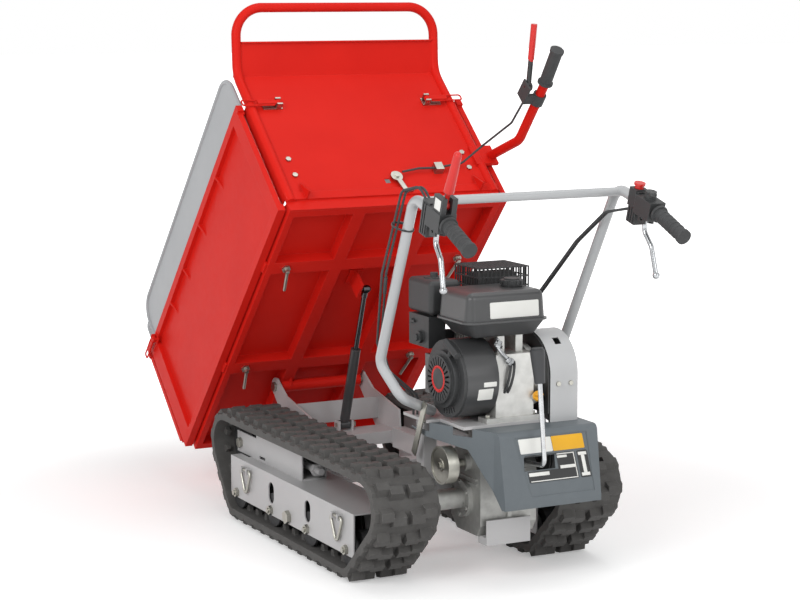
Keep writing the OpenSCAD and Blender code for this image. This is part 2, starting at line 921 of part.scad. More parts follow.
module handlebar() {
    color("#b7b9ba") {
        left() bar_arm([114, -345, 0], [225, -392, 63]);
        bar_arm([112, deck_front - 28, 0], [236, deck_front - 28, 66]);
        rod([-276, -582, bar_height - 10], [276, -582, bar_height - 10], 11);
    }
}

module handlebar_grips() {
    color("#262627") both() difference() {
        union() {
            rod(grip_a + grip_dir * 4, grip_b, 17);
            rod(grip_a + grip_dir * 4, grip_a + grip_dir * 11, 22);
            rod(grip_b - grip_dir * 9, grip_b, 19);
            for (k = [1 : 5]) {
                rod(grip_a + grip_dir * (8 + k * 16), grip_a + grip_dir * (14 + k * 16), 18);
            }
        }
        rod(grip_a - grip_dir * 5, grip_b - grip_dir * 5.7, tube_radius + slide_gap);
    }
}

module housing_cut() {
    pipe([bend_pt, grip_a, grip_b], tube_radius + slide_gap, 42);
}

// clamp and finned body on the tube with the lugs of the steering lever
module housing() {
    translate(housing_pt) rotate([slope, 0, 0]) {
        box([-22, -40, -24], [22, 26, 22]);
        box([-15, 25, -58], [15, 60, 26]);
        for (k = [0 : 2]) {
            box([-18, 30 + k * 10, -54], [18, 35 + k * 10, 20]);
        }
    }
    for (x = [-14, 9]) {
        translate(steer_pt) difference() {
            box([x, -14, -13], [x + 5, 14, 14]);
            axle(5.05, x - 1, x + 6, 0, 0);
        }
    }
}

module control_housings() {
    color("#262627") {
        difference() {
            union() {
                both() housing();
                // base of the clutch lever, its plate left bare
                left() translate(housing_pt) rotate([slope, 0, 0]) {
                    box([-20, -40, 22], [-7, 2, 60]);
                    box([7, -40, 22], [20, 2, 60]);
                }
                // throttle base and stop switch
                translate(housing_pt) rotate([slope, 0, 0]) translate([0, -4, 22]) cylinder(r = 15, h = 12);
                translate(switch_pt) rotate([slope, 0, 0]) box([-17, -15, -16], [17, 15, 30]);
            }
            both() housing_cut();
            left() translate(housing_pt) rotate([slope, 0, 0]) axle(5.05, -30, 30, -20, 38);
            both() translate(steer_pt) box([-9, -16, -15], [9, 16, 11.5]);
            // sockets of the cables
            left() translate(housing_pt) rotate([slope, 0, 0]) box([-13, 56, 10], [8, 70, 24]);
            translate(housing_pt) rotate([slope, 0, 0]) box([-12, 56, -34], [10, 70, -19]);
            translate(switch_pt) rotate([slope, 0, 0]) translate([0, 0, 24]) cylinder(r = 11 + 0.3, h = 10);
        }
    }
}

module steering_lever() {
    color("#c8c9ca") {
        difference() {
            translate(steer_pt) axle(10, -8.6, 8.6, 0, 0);
            translate(steer_pt) axle(5 + fit, -10, 10, 0, 0);
        }
        pipe([
            steer_pt + [0.4, 3, -8], steer_pt + [1, 9, -30], steer_pt + [3, -22, -66], steer_pt + [6, -40, -135]
        ], 6, 26, 24);
        translate(steer_pt + [6, -40, -135]) sphere(r = 9);
    }
}

module clutch_lever() {
    color("#c8201c") left() translate(housing_pt) rotate([slope, 0, 0]) difference() {
        union() {
            axle(10, -6.6, 6.6, -20, 38);
            rod([0, -21, 44], [0.4, -27, 74], 5.5);
            cone([0.4, -27, 73], [2.6, -48, 168], 12.5, 9.5);
            translate([2.6, -48, 168]) sphere(r = 9.7);
        }
        axle(5 + fit, -10, 10, -20, 38);
    }
}

module throttle_lever() {
    color("#262627") translate(housing_pt) rotate([slope, 0, 0]) translate([0, -4, 34.4]) {
        cylinder(r = 14, h = 6);
        rod([0, 0, 3], [-26, -40, 12], 3);
        translate([-26, -40, 12]) sphere(r = 6);
    }
}

module stop_button() {
    color("#d3221f") translate(switch_pt) rotate([slope, 0, 0]) {
        translate([0, 0, 28]) cylinder(r = 11, h = 12);
        translate([0, 0, 38]) cylinder(r = 14, h = 6);
    }
}

function on_housing(x, y, z) = housing_pt + [x, y * cos(slope) - z * sin(slope), y * sin(slope) + z * cos(slope)];

// the left cables arch over the bend and run down the outside of the arm
module left_cable(k) {
    d = [9 * k, 4 * k, 0];
    low = bend_pt + [15, 118, -194];
    deep = [250, -330, deck_height + 195];
    pipe([
        on_housing(-6 + 9 * k, 59, 17), bend_pt + [6, -58, 30] + d, bend_pt + [14, 16, 14] + d,
        low + d, deep + d, [212, -300, deck_height + 115] + d, [138, -310, deck_height + 50] + d,
        [138, -310, deck_height] + d
    ], 3, 26, 16);
    // barrel of the adjuster
    if (k == 0) {
        rod(low + (deep - low) * 0.06, low + (deep - low) * 0.28, 5, 6);
    }
}

module right_cable(k) {
    d = [-9 * k, 0, 0];
    pipe([
        on_housing(4 - 10 * k, 59, -26), [254, -572, bar_height - 60] + d, [246, -452, bar_height - 144] + d,
        [214, -320, 690] + d, [196, deck_front - 6, 560] + d, [145, deck_front - 6, deck_height + 50] + d,
        [145, deck_front - 6, deck_height] + d
    ], 3, 26, 16);
}

module control_cables() {
    color("#1f1f20") for (k = [0, 1]) {
        left() left_cable(k);
        right_cable(k);
    }
}

// bolts and small zinc pieces on the chassis

module fasteners() {
    out = track_mid + plate_in + plate;
    color("#a6a7a5") {
        both() {
            for (k = [-1, -1 / 3, 1 / 3, 1]) {
                axle(13, out, out + 9, roller_y(k), roller_z, 6);
                axle(7, out + 9, out + 14, roller_y(k), roller_z, 24);
            }
            axle(18, out, out + 12, roller_mid + 2, frame_bottom + 20, 6);
            axle(15, track_mid + fork_half, track_mid + fork_half + 9, idler_ahead, wheel_height, 6);
            axle(14, ear_in + ear_wide, ear_in + ear_wide + 8, hinge_ahead, hinge_height, 6);
        }
        for (x = [-29, 101]) {
            for (y = [cy - 62, cy + 62]) {
                translate([x, y, deck_height + 12]) cylinder(r = 6, h = 6, $fn = 6);
            }
        }
        axle(pin_r, -ear_in - ear_wide, ear_in + ear_wide, hinge_ahead, hinge_height);
        axle(6, -26, 26, strut_y, strut_z);
        axle(10, 26, 33, strut_y, strut_z, 6);
        // screws of the belt cover
        for (x = [148, 184]) {
            translate([x, cy - cover_r, cz - 18]) rotate([90, 0, 0]) cylinder(r = 6, h = 4);
        }
        // slotted brace beside the left of the console
        difference() {
            rod([-162, -398, 452], [-162, -336, 312], 10);
            box([-190, -420, 290], [-164, -300, 470]);
            box([-160, -420, 290], [-130, -300, 470]);
        }
        axle(4, -161, -152, -375, deck_height - 4, 24);
    }
}

// bed, drawn lowered about the hinge axle

module cross_room(u) {
    box([-floor_in - 1, u - cross_half + 3, floor_rise - 27], [floor_in + 1, u + cross_half - 3, floor_rise - 3]);
}

module bed_base() {
    low = floor_rise - 30;
    color("#c9201b") on_bed() difference() {
        union() {
            box([-floor_in, bed_rear, floor_rise], [floor_in, bed_front, floor_rise + 3]);
            box([-floor_in, bed_rear, low], [floor_in, bed_rear + 22, floor_rise]);
            box([-floor_in, bed_front - 22, low], [floor_in, bed_front, floor_rise]);
            for (u = [rear_cross, front_cross]) {
                box([-floor_in, u - cross_half, low], [floor_in, u + cross_half, floor_rise]);
            }
            both() {
                box([floor_in - 18, bed_rear, low], [floor_in, bed_front, floor_rise]);
                box([90, bed_rear, low], [126, bed_front, floor_rise]);
                // saddles of the hinge tube
                yz(96, 6) polygon([[-60, floor_rise], [-14, -12], [14, -12], [40, floor_rise]]);
                // gate knuckles and pins
                axle(8, 150, 210, gate_pin_u, gate_pin_w);
                box([150, bed_front - 2, gate_pin_w - 8], [210, gate_pin_u, gate_pin_w - 2]);
                axle(4, 110, 150, gate_pin_u, gate_pin_w, 24);
            }
            axle(17, -126, 126, 0, 0);
            // bracket of the strut
            box([-26, strut_top_u - 34, strut_top_w - 14], [-20, strut_top_u + 20, floor_rise]);
            box([-40, strut_top_u - 34, floor_rise - 6], [0, strut_top_u + 20, floor_rise]);
        }
        cross_room(rear_cross);
        cross_room(front_cross);
        axle(pin_r + fit, -140, 140, 0, 0);
        // corners cut for the feet of the headboard's hoop
        both() box([hoop_x - 15, bed_rear - 1, floor_rise], [floor_in + 1, bed_rear + 10, floor_rise + 4]);
    }
}

module headboard() {
    hoop_top = kink_w + flare;
    hoop_u = bed_rear - flare;
    hoop_foot = bed_rear - 4.5;
    color("#d22620") on_bed() {
        difference() {
            box([-floor_in, bed_rear - 6, floor_rise + 3], [floor_in, bed_rear - 3, kink_w]);
            box([-8, bed_rear - 10, floor_rise + 50], [8, bed_rear, floor_rise + 66]);
        }
        pipe([
            [hoop_x, hoop_foot, floor_rise], [hoop_x, hoop_foot, kink_w], [hoop_x, hoop_u - 4.5, hoop_top],
            [-hoop_x, hoop_u - 4.5, hoop_top], [-hoop_x, hoop_foot, kink_w], [-hoop_x, hoop_foot, floor_rise]
        ], 13, 78);
        // sloping sheet with a folded edge
        translate([0, bed_rear - 4.5, kink_w - 6]) rotate([45, 0, 0]) {
            box([-hoop_x + 4, -1.5, 0], [hoop_x - 4, 1.5, flare_length * 0.52]);
            box([-hoop_x + 12, -9, flare_length * 0.52 - 4], [hoop_x - 12, 1.5, flare_length * 0.52]);
        }
        box([-floor_in, bed_rear - 12, floor_rise + 3], [floor_in, bed_rear - 6, floor_rise + 28]);
        box([-floor_in, bed_rear - 6, floor_rise - 30], [floor_in, bed_rear, floor_rise + 12]);
        // corner flanges beside the side panels
        both() {
            box([floor_in - 3, bed_rear - 3, floor_rise + 13], [floor_in, bed_rear + 24, side_top - 4]);
            yz(floor_in - 60, 5) polygon([
                [bed_rear - 12, floor_rise + 3], [bed_rear - 42, floor_rise + 3], [bed_rear - 12, floor_rise + 60]
            ]);
        }
        // lifting handle on the right rear corner
        box([floor_in - 30, bed_rear - 16, floor_rise + 97], [handle_x + 15, bed_rear - 6, floor_rise + 165]);
        pipe([
            [handle_x, bed_rear - 12, floor_rise + 128], [handle_x, bed_rear - 160, floor_rise + 45],
            [handle_x, bed_rear - 361, floor_rise + 52], [handle_x, bed_rear - 467, floor_rise + 66]
        ], tube_radius, 60);
    }
}

handle_a = [handle_x, bed_rear - 361, floor_rise + 52];
handle_dir = unit([0, -106, 14]);
release_pt = [handle_x - 36, bed_rear - 338, floor_rise + 70];

module handle_cut() {
    pipe([
        [handle_x, bed_rear - 160, floor_rise + 45], handle_a, handle_a + handle_dir * 130
    ], tube_radius + slide_gap, 60);
}

module bed_grip() {
    color("#262627") on_bed() difference() {
        union() {
            rod(handle_a + handle_dir * 4, handle_a + handle_dir * 114, 17);
            rod(handle_a + handle_dir * 5, handle_a + handle_dir * 11, 21);
            rod(handle_a + handle_dir * 106, handle_a + handle_dir * 114, 19);
            // clamp and stand of the release lever
            rod([handle_x, bed_rear - 296, floor_rise + 49.7],
                [handle_x, bed_rear - 328, floor_rise + 50.9], 18);
            box([handle_x - 44, bed_rear - 352, floor_rise + 44],
                [handle_x - 40, bed_rear - 298, floor_rise + 86]);
            box([handle_x - 44, bed_rear - 326, floor_rise + 44],
                [handle_x - 9, bed_rear - 298, floor_rise + 56]);
        }
        intersection() {
            handle_cut();
            box([0, bed_rear - 471, 0], [handle_x + 60, bed_rear - 160, 300]);
        }
        release_bore();
    }
}

module release_bore() {
    axle(4.05, handle_x - 50, handle_x - 38, release_pt[1], release_pt[2], 24);
}

module release_lever() {
    color("#c8201c") on_bed() {
        axle(4, handle_x - 44, handle_x - 39.5, release_pt[1], release_pt[2], 24);
        axle(11, handle_x - 39.5, handle_x - 25, release_pt[1], release_pt[2]);
        rod(release_pt + [4, -4, 2.6], release_pt + [4, -64, 40.8], 7);
        rod(release_pt + [4, -62, 39.6], release_pt + [4, -141, 90], 8.5);
    }
}

// route of the release cable from the stand to the latch hook
module release_run(r) {
    pipe([
        [handle_x - 42, bed_rear - 297, floor_rise + 50], [handle_x - 40, bed_rear - 215, floor_rise + 58],
        [handle_x - 54, bed_rear - 70, floor_rise + 112], [floor_in - 80, bed_rear - 20, floor_rise + 98],
        [150, bed_rear - 18, floor_rise + 87], [102, bed_rear - 18, floor_rise + 88],
        [48, bed_rear - 18, floor_rise + 78]
    ], r, 24, 16);
}

module release_cable() {
    color("#1f1f20") on_bed() release_run(3);
}

module latch_hook() {
    color("#b9bab8") on_bed() translate([26, bed_rear - 13, floor_rise + 65]) {
        rotate([90, 0, 0]) cylinder(r = 17, h = 5);
        rotate([0, -10, 0]) {
            translate([-7, -5, -56]) cube([14, 5, 56]);
            translate([-7, -5, -60]) cube([29, 5, 12]);
        }
        rotate([90, 0, 0]) translate([0, 0, 5]) cylinder(r = 8, h = 5, $fn = 6);
    }
}

// side panel, for the right side
module side_panel() {
    low = floor_rise - 19;
    color("#d22620") on_bed() {
        box([side_in, bed_rear + 4, low], [side_out, bed_front - 3, floor_rise + 3]);
        box([side_skin, bed_rear + 4, floor_rise + 3], [side_skin + 3, bed_front - 3, side_top - 24]);
        box([side_in, bed_rear + 4, side_top - 24], [side_out, bed_front - 3, side_top]);
        box([side_skin, bed_front - 63, floor_rise + 3], [side_out, bed_front - 3, side_top - 24]);
        box([side_skin, bed_rear + 4, floor_rise + 3], [side_out, bed_rear + 50, side_top - 24]);
        for (u = [-495, -300, -111, 40]) {
            translate([0, u, 0]) rotate([90, 0, 0]) linear_extrude(6) polygon([
                [side_skin + 2, side_top - 22], [side_out, side_top - 22], [side_skin + 2, side_top - 70]
            ]);
        }
        // runners inside the cross members
        for (u = [rear_cross, front_cross]) {
            box([70, u - cross_half + 3 + slide_gap, floor_rise - 27 + slide_gap],
                [side_in + 1, u + cross_half - 3 - slide_gap, floor_rise - 3 - slide_gap]);
        }
        // catch for the rear latch
        box([side_in + 4, bed_rear - 4, toggle_w - 14], [side_out, bed_rear + 5, toggle_w + 6]);
        // base of the front latch
        box([side_out, bed_front - 84, toggle_w - 30], [side_out + 3, bed_front - 24, toggle_w]);
        for (w = [toggle_w - 26, toggle_w - 9]) {
            difference() {
                box([side_out + 3, bed_front - 80, w], [side_out + 16, bed_front - 66, w + 5]);
                translate([side_out + 10, bed_front - 73, w - 1]) cylinder(r = 3.05, h = 7, $fn = 24);
            }
        }
    }
}

module extension_panel() {
    skin = side_in - 5;
    top = side_top + extension_height;
    low = side_top - 60;
    rear = bed_rear + 20;
    front = bed_front - 14;
    color("#a8a9ab") on_bed() {
        difference() {
            yz(skin, 2.5) difference() {
                translate([rear, low]) square([front - rear, top - low]);
                for (u = [rear, front]) {
                    difference() {
                        translate([u - 60, top - 60]) square([120, 61]);
                        translate([u == rear ? rear + 60 : front - 60, top - 60]) circle(r = 60);
                        translate([u == rear ? rear + 60 : front - 180, top - 60]) square([120, 61]);
                    }
                }
            }
        }
        pipe([
            [skin + 1.25, rear, side_top + 2], [skin + 1.25, rear, top],
            [skin + 1.25, front, top], [skin + 1.25, front, side_top + 2]
        ], 6, 60, 24);
        for (u = [-560, -220, 120]) {
            box([skin + 2.5, u, side_top - 40], [side_in, u + 30, side_top - 14]);
        }
    }
}

module front_gate() {
    low = floor_rise + 3;
    color("#d22620") on_bed() {
        box([-side_out, gate_u, low], [side_out, gate_u + 3, side_top]);
        box([-side_out, gate_u + 3, side_top - 24], [side_out, gate_u + 17, side_top]);
        box([-side_out, gate_u + 3, low + 14], [side_out, gate_u + 14, low + 30]);
        both() {
            box([side_out - 46, gate_u + 3, low + 30], [side_out, gate_u + 14, side_top - 24]);
            difference() {
                union() {
                    axle(8, 100, 149.5, gate_pin_u, gate_pin_w);
                    box([100, gate_u, gate_pin_w], [149.5, gate_u + 8, low + 16]);
                }
                axle(4 + fit, 90, 160, gate_pin_u, gate_pin_w, 24);
            }
            // catch beside the front latch
            box([side_out, gate_u + 2, toggle_w - 22], [side_out + 4, gate_u + 14, toggle_w - 8]);
        }
        box([-30, gate_u + 3, low + 30], [30, gate_u + 8, side_top - 24]);
    }
}

module front_extension() {
    u = gate_u + 17;
    top = side_top + extension_height;
    x = floor_in - 6;
    color("#a8a9ab") on_bed() {
        translate([0, u + 2.5, 0]) rotate([90, 0, 0]) linear_extrude(2.5) difference() {
            translate([-x, side_top - 24]) square([2 * x, extension_height + 24]);
            for (s = [-1, 1]) {
                difference() {
                    translate([s * x - 60, top - 60]) square([120, 61]);
                    translate([s * (x - 60), top - 60]) circle(r = 60);
                    translate([s > 0 ? x - 180 : -x + 60, top - 60]) square([120, 61]);
                }
            }
        }
        pipe([
            [-x, u + 6, side_top - 24], [-x, u + 6, top], [x, u + 6, top], [x, u + 6, side_top - 24]
        ], 6, 60, 24);
    }
}

// latch on the headboard, for the right side
module rear_toggle() {
    u = bed_rear - 20;
    color("#c8201c") on_bed() {
        translate([toggle_x, u, toggle_w - 16]) cylinder(r = 3, h = 26, $fn = 24);
        translate([toggle_x, u, toggle_w - 9.6]) cylinder(r = 7, h = 13.2, $fn = 24);
        box([toggle_x, u - 5, toggle_w - 9.6], [toggle_x + 62, u + 1, toggle_w + 3.6]);
        // wire bail
        pipe([
            [toggle_x + 14, u - 1, toggle_w - 12.5], [side_in + 12, u - 2, toggle_w - 12.5],
            [side_in + 12, u - 2, toggle_w + 6.5], [toggle_x + 14, u - 1, toggle_w + 6.5]
        ], 2.2, 6, 16);
        translate([toggle_x + 14, u - 1, toggle_w - 12.5]) cylinder(r = 2, h = 19, $fn = 16);
    }
}

// latch on the side panel, for the right side
module front_toggle() {
    x = side_out + 10;
    u = bed_front - 73;
    color("#c8201c") on_bed() {
        translate([x, u, toggle_w - 26]) cylinder(r = 3, h = 22, $fn = 24);
        translate([x, u, toggle_w - 20.6]) cylinder(r = 6, h = 11.2, $fn = 24);
        box([x - 1, u, toggle_w - 20.6], [x + 5, u + 62, toggle_w - 9.4]);
        pipe([
            [x + 4, u + 14, toggle_w - 24], [x + 4, gate_u + 8, toggle_w - 24], [x + 4, gate_u + 8, toggle_w - 6],
            [x + 4, u + 14, toggle_w - 6]
        ], 2.2, 6, 16);
        translate([x + 4, u + 14, toggle_w - 24]) cylinder(r = 2, h = 18, $fn = 16);
    }
}

// zinc clamp screws, latch bases and bolts on the bed
module bed_hardware() {
    low = floor_rise - 30;
    color("#b0b1ae") on_bed() {
        both() {
            for (u = [rear_cross, front_cross]) {
                translate([floor_in - 56, u, low - 6]) cylinder(r = 13, h = 6, $fn = 6);
                translate([floor_in - 56, u, low - 17]) cylinder(r = 6, h = 12, $fn = 24);
                rod([floor_in - 56, u, low - 13], [floor_in - 68, u + 74, low - 15], 4.5, 24);
            }
            // base of the rear latch on the headboard
            box([toggle_x - 12, bed_rear - 10, toggle_w - 16], [toggle_x + 44, bed_rear - 6, toggle_w + 10]);
            for (w = [toggle_w - 16, toggle_w + 5]) {
                difference() {
                    box([toggle_x - 8, bed_rear - 28, w], [toggle_x + 8, bed_rear - 10, w + 5]);
                    translate([toggle_x, bed_rear - 20, w - 1]) cylinder(r = 3.05, h = 7, $fn = 24);
                }
            }
            // bolts along the headboard posts
            for (w = [floor_rise + 92, floor_rise + 150]) {
                translate([floor_in - 55, bed_rear - 6, w]) rotate([90, 0, 0]) cylinder(r = 8, h = 5, $fn = 6);
            }
        }
        // pivot of the latch hook
        translate([26, bed_rear - 6, floor_rise + 65]) rotate([90, 0, 0]) cylinder(r = 6, h = 6.7, $fn = 24);
        // cable adjuster on the headboard
        difference() {
            box([150, bed_rear - 26, floor_rise + 75], [174, bed_rear - 6, floor_rise + 101]);
            release_run(3 + slide_gap);
        }
    }
}

// gas strut, drawn from its lower pivot to its upper pivot

module on_strut() {
    u = strut_top_u;
    w = strut_top_w;
    y = hinge_ahead + u * cos(tip_angle) + w * sin(tip_angle);
    z = hinge_height - u * sin(tip_angle) + w * cos(tip_angle);
    lean = atan2(strut_y - y, z - strut_z);
    translate([0, strut_y, strut_z]) rotate([lean, 0, 0]) children();
}

function strut_length() = let(
    y = hinge_ahead + strut_top_u * cos(tip_angle) + strut_top_w * sin(tip_angle),
    z = hinge_height - strut_top_u * sin(tip_angle) + strut_top_w * cos(tip_angle)
) norm([y - strut_y, z - strut_z]);

cylinder_long = 242;
rod_foot = 195;

module strut_cylinder() {
    color("#232324") on_strut() difference() {
        union() {
            axle(13, -15, 15, 0, 0);
            cylinder(r = 9, h = 24);
            translate([0, 0, 16]) cylinder(r = 14, h = cylinder_long - 16);
        }
        axle(6 + fit, -20, 20, 0, 0);
        translate([0, 0, 34]) cylinder(r = 7 + fit, h = cylinder_long);
    }
}

module strut_rod() {
    long = strut_length();
    color("#3a3b3d") on_strut() {
        translate([0, 0, rod_foot]) cylinder(r = 7, h = long - rod_foot - 8);
        translate([0, 0, long - 24]) cylinder(r = 9, h = 14);
        axle(11, -9, 9, 0, long);
        axle(5, -19.4, -9, 0, long, 24);
        axle(8, 9, 14, 0, long, 6);
    }
}

// ends of the whole machine along y, for placing its middle over the origin
gate_tube_u = gate_u + 23;
front_end = hinge_ahead + gate_tube_u * cos(tip_angle) + (side_top + extension_height) * sin(tip_angle)
    + 6 + bend_swell;
rear_end = grip_b[1] - 19 * sqrt(1 - grip_dir[1] * grip_dir[1]);

module placed() {
    translate([0, -(front_end + rear_end) / 2, 0]) children();
}

placed() chassis_frame();
placed() both() track_frame();  // track_frames
placed() left() track();  // left_track
placed() track();  // right_track
placed() left() sprocket(-box_left - 8);  // left_sprocket
placed() sprocket(box_right - 8);  // right_sprocket
placed() both() idler();  // idlers
placed() both() roller(roller_y(-1));  // rollers_rear
placed() both() roller(roller_y(-1 / 3));  // rollers_mid_rear
placed() both() roller(roller_y(1 / 3));  // rollers_mid_front
placed() both() roller(roller_y(1));  // rollers_front
placed() left() tie_rings();  // left_tie_rings
placed() tie_rings();  // right_tie_rings
placed() gearbox();
placed() brake_drum();
placed() gearbox_pulley();
placed() engine_pulley();
placed() drive_belt();
placed() belt_cover();
placed() console_cover();
placed() shift_lever();
placed() crankcase();
placed() blower_housing();
placed() recoil_cover();
placed() starter_handle();
placed() fuel_tank();
placed() fuel_cap();
placed() air_filter();
placed() carburettor();
placed() muffler();
placed() dipstick();
placed() handlebar();
placed() handlebar_grips();
placed() control_housings();
placed() left() steering_lever();  // left_steering_lever
placed() steering_lever();  // right_steering_lever
placed() clutch_lever();
placed() throttle_lever();
placed() stop_button();
placed() control_cables();
placed() fasteners();
placed() bed_base();
placed() headboard();
placed() bed_grip();
placed() release_lever();
placed() release_cable();
placed() latch_hook();
placed() left() side_panel();  // left_side
placed() left() extension_panel();  // left_extension
placed() side_panel();  // right_side
placed() extension_panel();  // right_extension
placed() front_gate();
placed() front_extension();
placed() left() rear_toggle();  // rear_left_toggle
placed() rear_toggle();  // rear_right_toggle
placed() left() front_toggle();  // front_left_toggle
placed() front_toggle();  // front_right_toggle
placed() bed_hardware();
placed() strut_cylinder();
placed() strut_rod();
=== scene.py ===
"""Looks of the tracked power carrier: camera, stage, finishes and small dressed pieces, in metres."""
import math

import bpy
from mathutils import Matrix, Vector


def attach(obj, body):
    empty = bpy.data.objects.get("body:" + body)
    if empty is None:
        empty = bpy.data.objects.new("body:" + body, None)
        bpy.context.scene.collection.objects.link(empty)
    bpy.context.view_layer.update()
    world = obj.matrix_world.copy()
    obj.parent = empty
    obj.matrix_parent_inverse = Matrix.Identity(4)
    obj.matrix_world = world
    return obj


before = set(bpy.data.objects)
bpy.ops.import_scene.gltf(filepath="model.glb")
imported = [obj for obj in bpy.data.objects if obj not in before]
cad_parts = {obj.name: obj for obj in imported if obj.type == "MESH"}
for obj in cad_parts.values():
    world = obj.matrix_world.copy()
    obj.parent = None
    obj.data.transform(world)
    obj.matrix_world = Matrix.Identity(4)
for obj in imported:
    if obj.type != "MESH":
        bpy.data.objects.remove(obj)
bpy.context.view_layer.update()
scene = bpy.context.scene


# camera, floor and light

ROOM_LIGHT = 0.48  # strength of the white room as a light; where it is seen it is plain white


def place_camera():
    """The photograph's view, from behind and to the left of the machine."""
    lens = bpy.data.cameras.new("photo_camera")
    lens.lens = 96.84
    lens.sensor_width = 36.0
    lens.sensor_fit = "HORIZONTAL"
    camera = bpy.data.objects.new("photo_camera", lens)
    camera.location = (-2.614, -5.1874, 1.472)
    camera.rotation_euler = (math.radians(90 - 8.28), 0.0, math.radians(-27.22))
    scene.collection.objects.link(camera)
    scene.camera = camera


def colour(code):
    """An sRGB hex colour as the linear values that a socket takes."""
    parts = [int(code[i:i + 2], 16) / 255 for i in (1, 3, 5)]
    return [*(c / 12.92 if c <= 0.04045 else ((c + 0.055) / 1.055) ** 2.4 for c in parts), 1.0]


def per_mm(size):
    """Texture scale, in metres, of a pattern whose marks are this many millimetres wide."""
    return 1000.0 / size


def add(tree, kind, inputs=None, **settings):
    """Adds a node, sets its settings, and sets or links its inputs."""
    node = tree.nodes.new(kind)
    for name, value in settings.items():
        setattr(node, name, value)
    for key, value in (inputs or {}).items():
        if isinstance(value, bpy.types.NodeSocket):
            tree.links.new(value, node.inputs[key])
        else:
            node.inputs[key].default_value = value
    return node


def begin(name):
    """A new material with its tree, its shader and the place on the object."""
    material = bpy.data.materials.new(name)
    material.use_nodes = True
    tree = material.node_tree
    place = add(tree, "ShaderNodeTexCoord").outputs["Object"]
    return material, tree, tree.nodes["Principled BSDF"], place


def seen_rays(tree):
    """One for rays that show what they meet, by eye, gloss or glass, and nought for rays that only light."""
    path = add(tree, "ShaderNodeLightPath").outputs
    seen = add(tree, "ShaderNodeMath", {0: path["Is Camera Ray"], 1: path["Is Glossy Ray"]},
               operation="MAXIMUM")
    seen = add(tree, "ShaderNodeMath", {0: seen.outputs[0], 1: path["Is Transmission Ray"]},
               operation="MAXIMUM")
    return seen.outputs[0]


def lay_floor():
    """A white studio floor that keeps the machine's shadow and fades to plain white further out."""
    bpy.ops.object.select_all(action="DESELECT")
    bpy.ops.mesh.primitive_plane_add(size=80.0, location=(0.0, 0.0, -0.0005))
    floor = bpy.context.object
    floor.name = "studio_floor"
    material, tree, surface, place = begin("white_studio_floor")
    surface.inputs["Base Color"].default_value = colour("#f4f4f4")
    surface.inputs["Roughness"].default_value = 0.9
    surface.inputs["Specular IOR Level"].default_value = 0.1
    far = add(tree, "ShaderNodeVectorMath", {0: place}, operation="LENGTH")
    far = add(tree, "ShaderNodeMapRange", {"Value": far.outputs["Value"], "From Min": 1.1, "From Max": 2.4},
              interpolation_type="SMOOTHSTEP")
    lift = add(tree, "ShaderNodeMapRange", {"Value": far.outputs[0], "To Min": 0.30, "To Max": 1.0})
    lift = add(tree, "ShaderNodeMath", {0: lift.outputs[0], 1: seen_rays(tree)}, operation="MULTIPLY")
    surface.inputs["Emission Color"].default_value = (1.0, 1.0, 1.0, 1.0)
    tree.links.new(lift.outputs[0], surface.inputs["Emission Strength"])
    floor.data.materials.append(material)


def light_studio():
    """A large soft key from the left, a top light over the bed, and an even white room."""
    world = bpy.data.worlds.new("white_room")
    world.use_nodes = True
    scene.world = world
    tree = world.node_tree
    level = add(tree, "ShaderNodeMapRange", {"Value": seen_rays(tree), "To Min": ROOM_LIGHT, "To Max": 1.0})
    tree.links.new(level.outputs[0], tree.nodes["Background"].inputs["Strength"])
    tree.nodes["Background"].inputs["Color"].default_value = (1.0, 1.0, 1.0, 1.0)
    lamps = (
        ("key_light", (-4.2, -2.8, 3.2), (0.0, 0.0, 0.5), 2.6, 138.0),
        ("top_light", (0.6, -0.8, 4.4), (0.0, 0.0, 0.4), 3.0, 40.0),
        ("rear_light", (1.0, -4.6, 2.2), (0.0, -0.3, 0.5), 2.0, 38.0),
    )
    for name, at, aim, size, power in lamps:
        lamp = bpy.data.lights.new(name, "AREA")
        lamp.size = size
        lamp.energy = power
        holder = bpy.data.objects.new(name, lamp)
        holder.location = at
        holder.rotation_euler = (Vector(aim) - Vector(at)).to_track_quat("-Z", "Y").to_euler()
        scene.collection.objects.link(holder)


# finishes

# planes that part two colours on one piece: a direction and how far along it, in metres
GRIP_FOOT = 0.5195  # height at which the shift lever's grip begins
DIP_END = ((0.0, 0.66913, -0.74314), -1.1256)  # end of the release lever's red dip, along the tipped bed
COVER_SEAM = ((1.0, 0.0, 0.0), 0.1252)  # seam of the belt cover with its back plate, behind which the cover is coloured near black


def parted(tree, place, tone, other):
    """Gives what lies below a plane across the piece, by its direction and distance, another colour."""
    code, direction, at = other
    along = add(tree, "ShaderNodeVectorMath", {0: place, 1: direction}, operation="DOT_PRODUCT")
    below = add(tree, "ShaderNodeMath", {0: along.outputs["Value"], 1: at}, operation="LESS_THAN")
    return add(tree, "ShaderNodeMix", {0: below.outputs[0], 6: tone, 7: colour(code)}, data_type="RGBA")


def soft_edges(tree, radius, turned, most):
    """The normal rounded at the edges by a radius, and a mask that grows where that turns the face."""
    fold = add(tree, "ShaderNodeBevel", {"Radius": radius}, samples=4).outputs[0]
    flat = add(tree, "ShaderNodeNewGeometry").outputs["True Normal"]
    turn = add(tree, "ShaderNodeVectorMath", {0: fold, 1: flat}, operation="DOT_PRODUCT")
    rim = add(tree, "ShaderNodeMapRange",
              {"Value": turn.outputs["Value"], "From Min": 0.99, "From Max": turned, "To Max": most})
    return fold, rim.outputs[0]


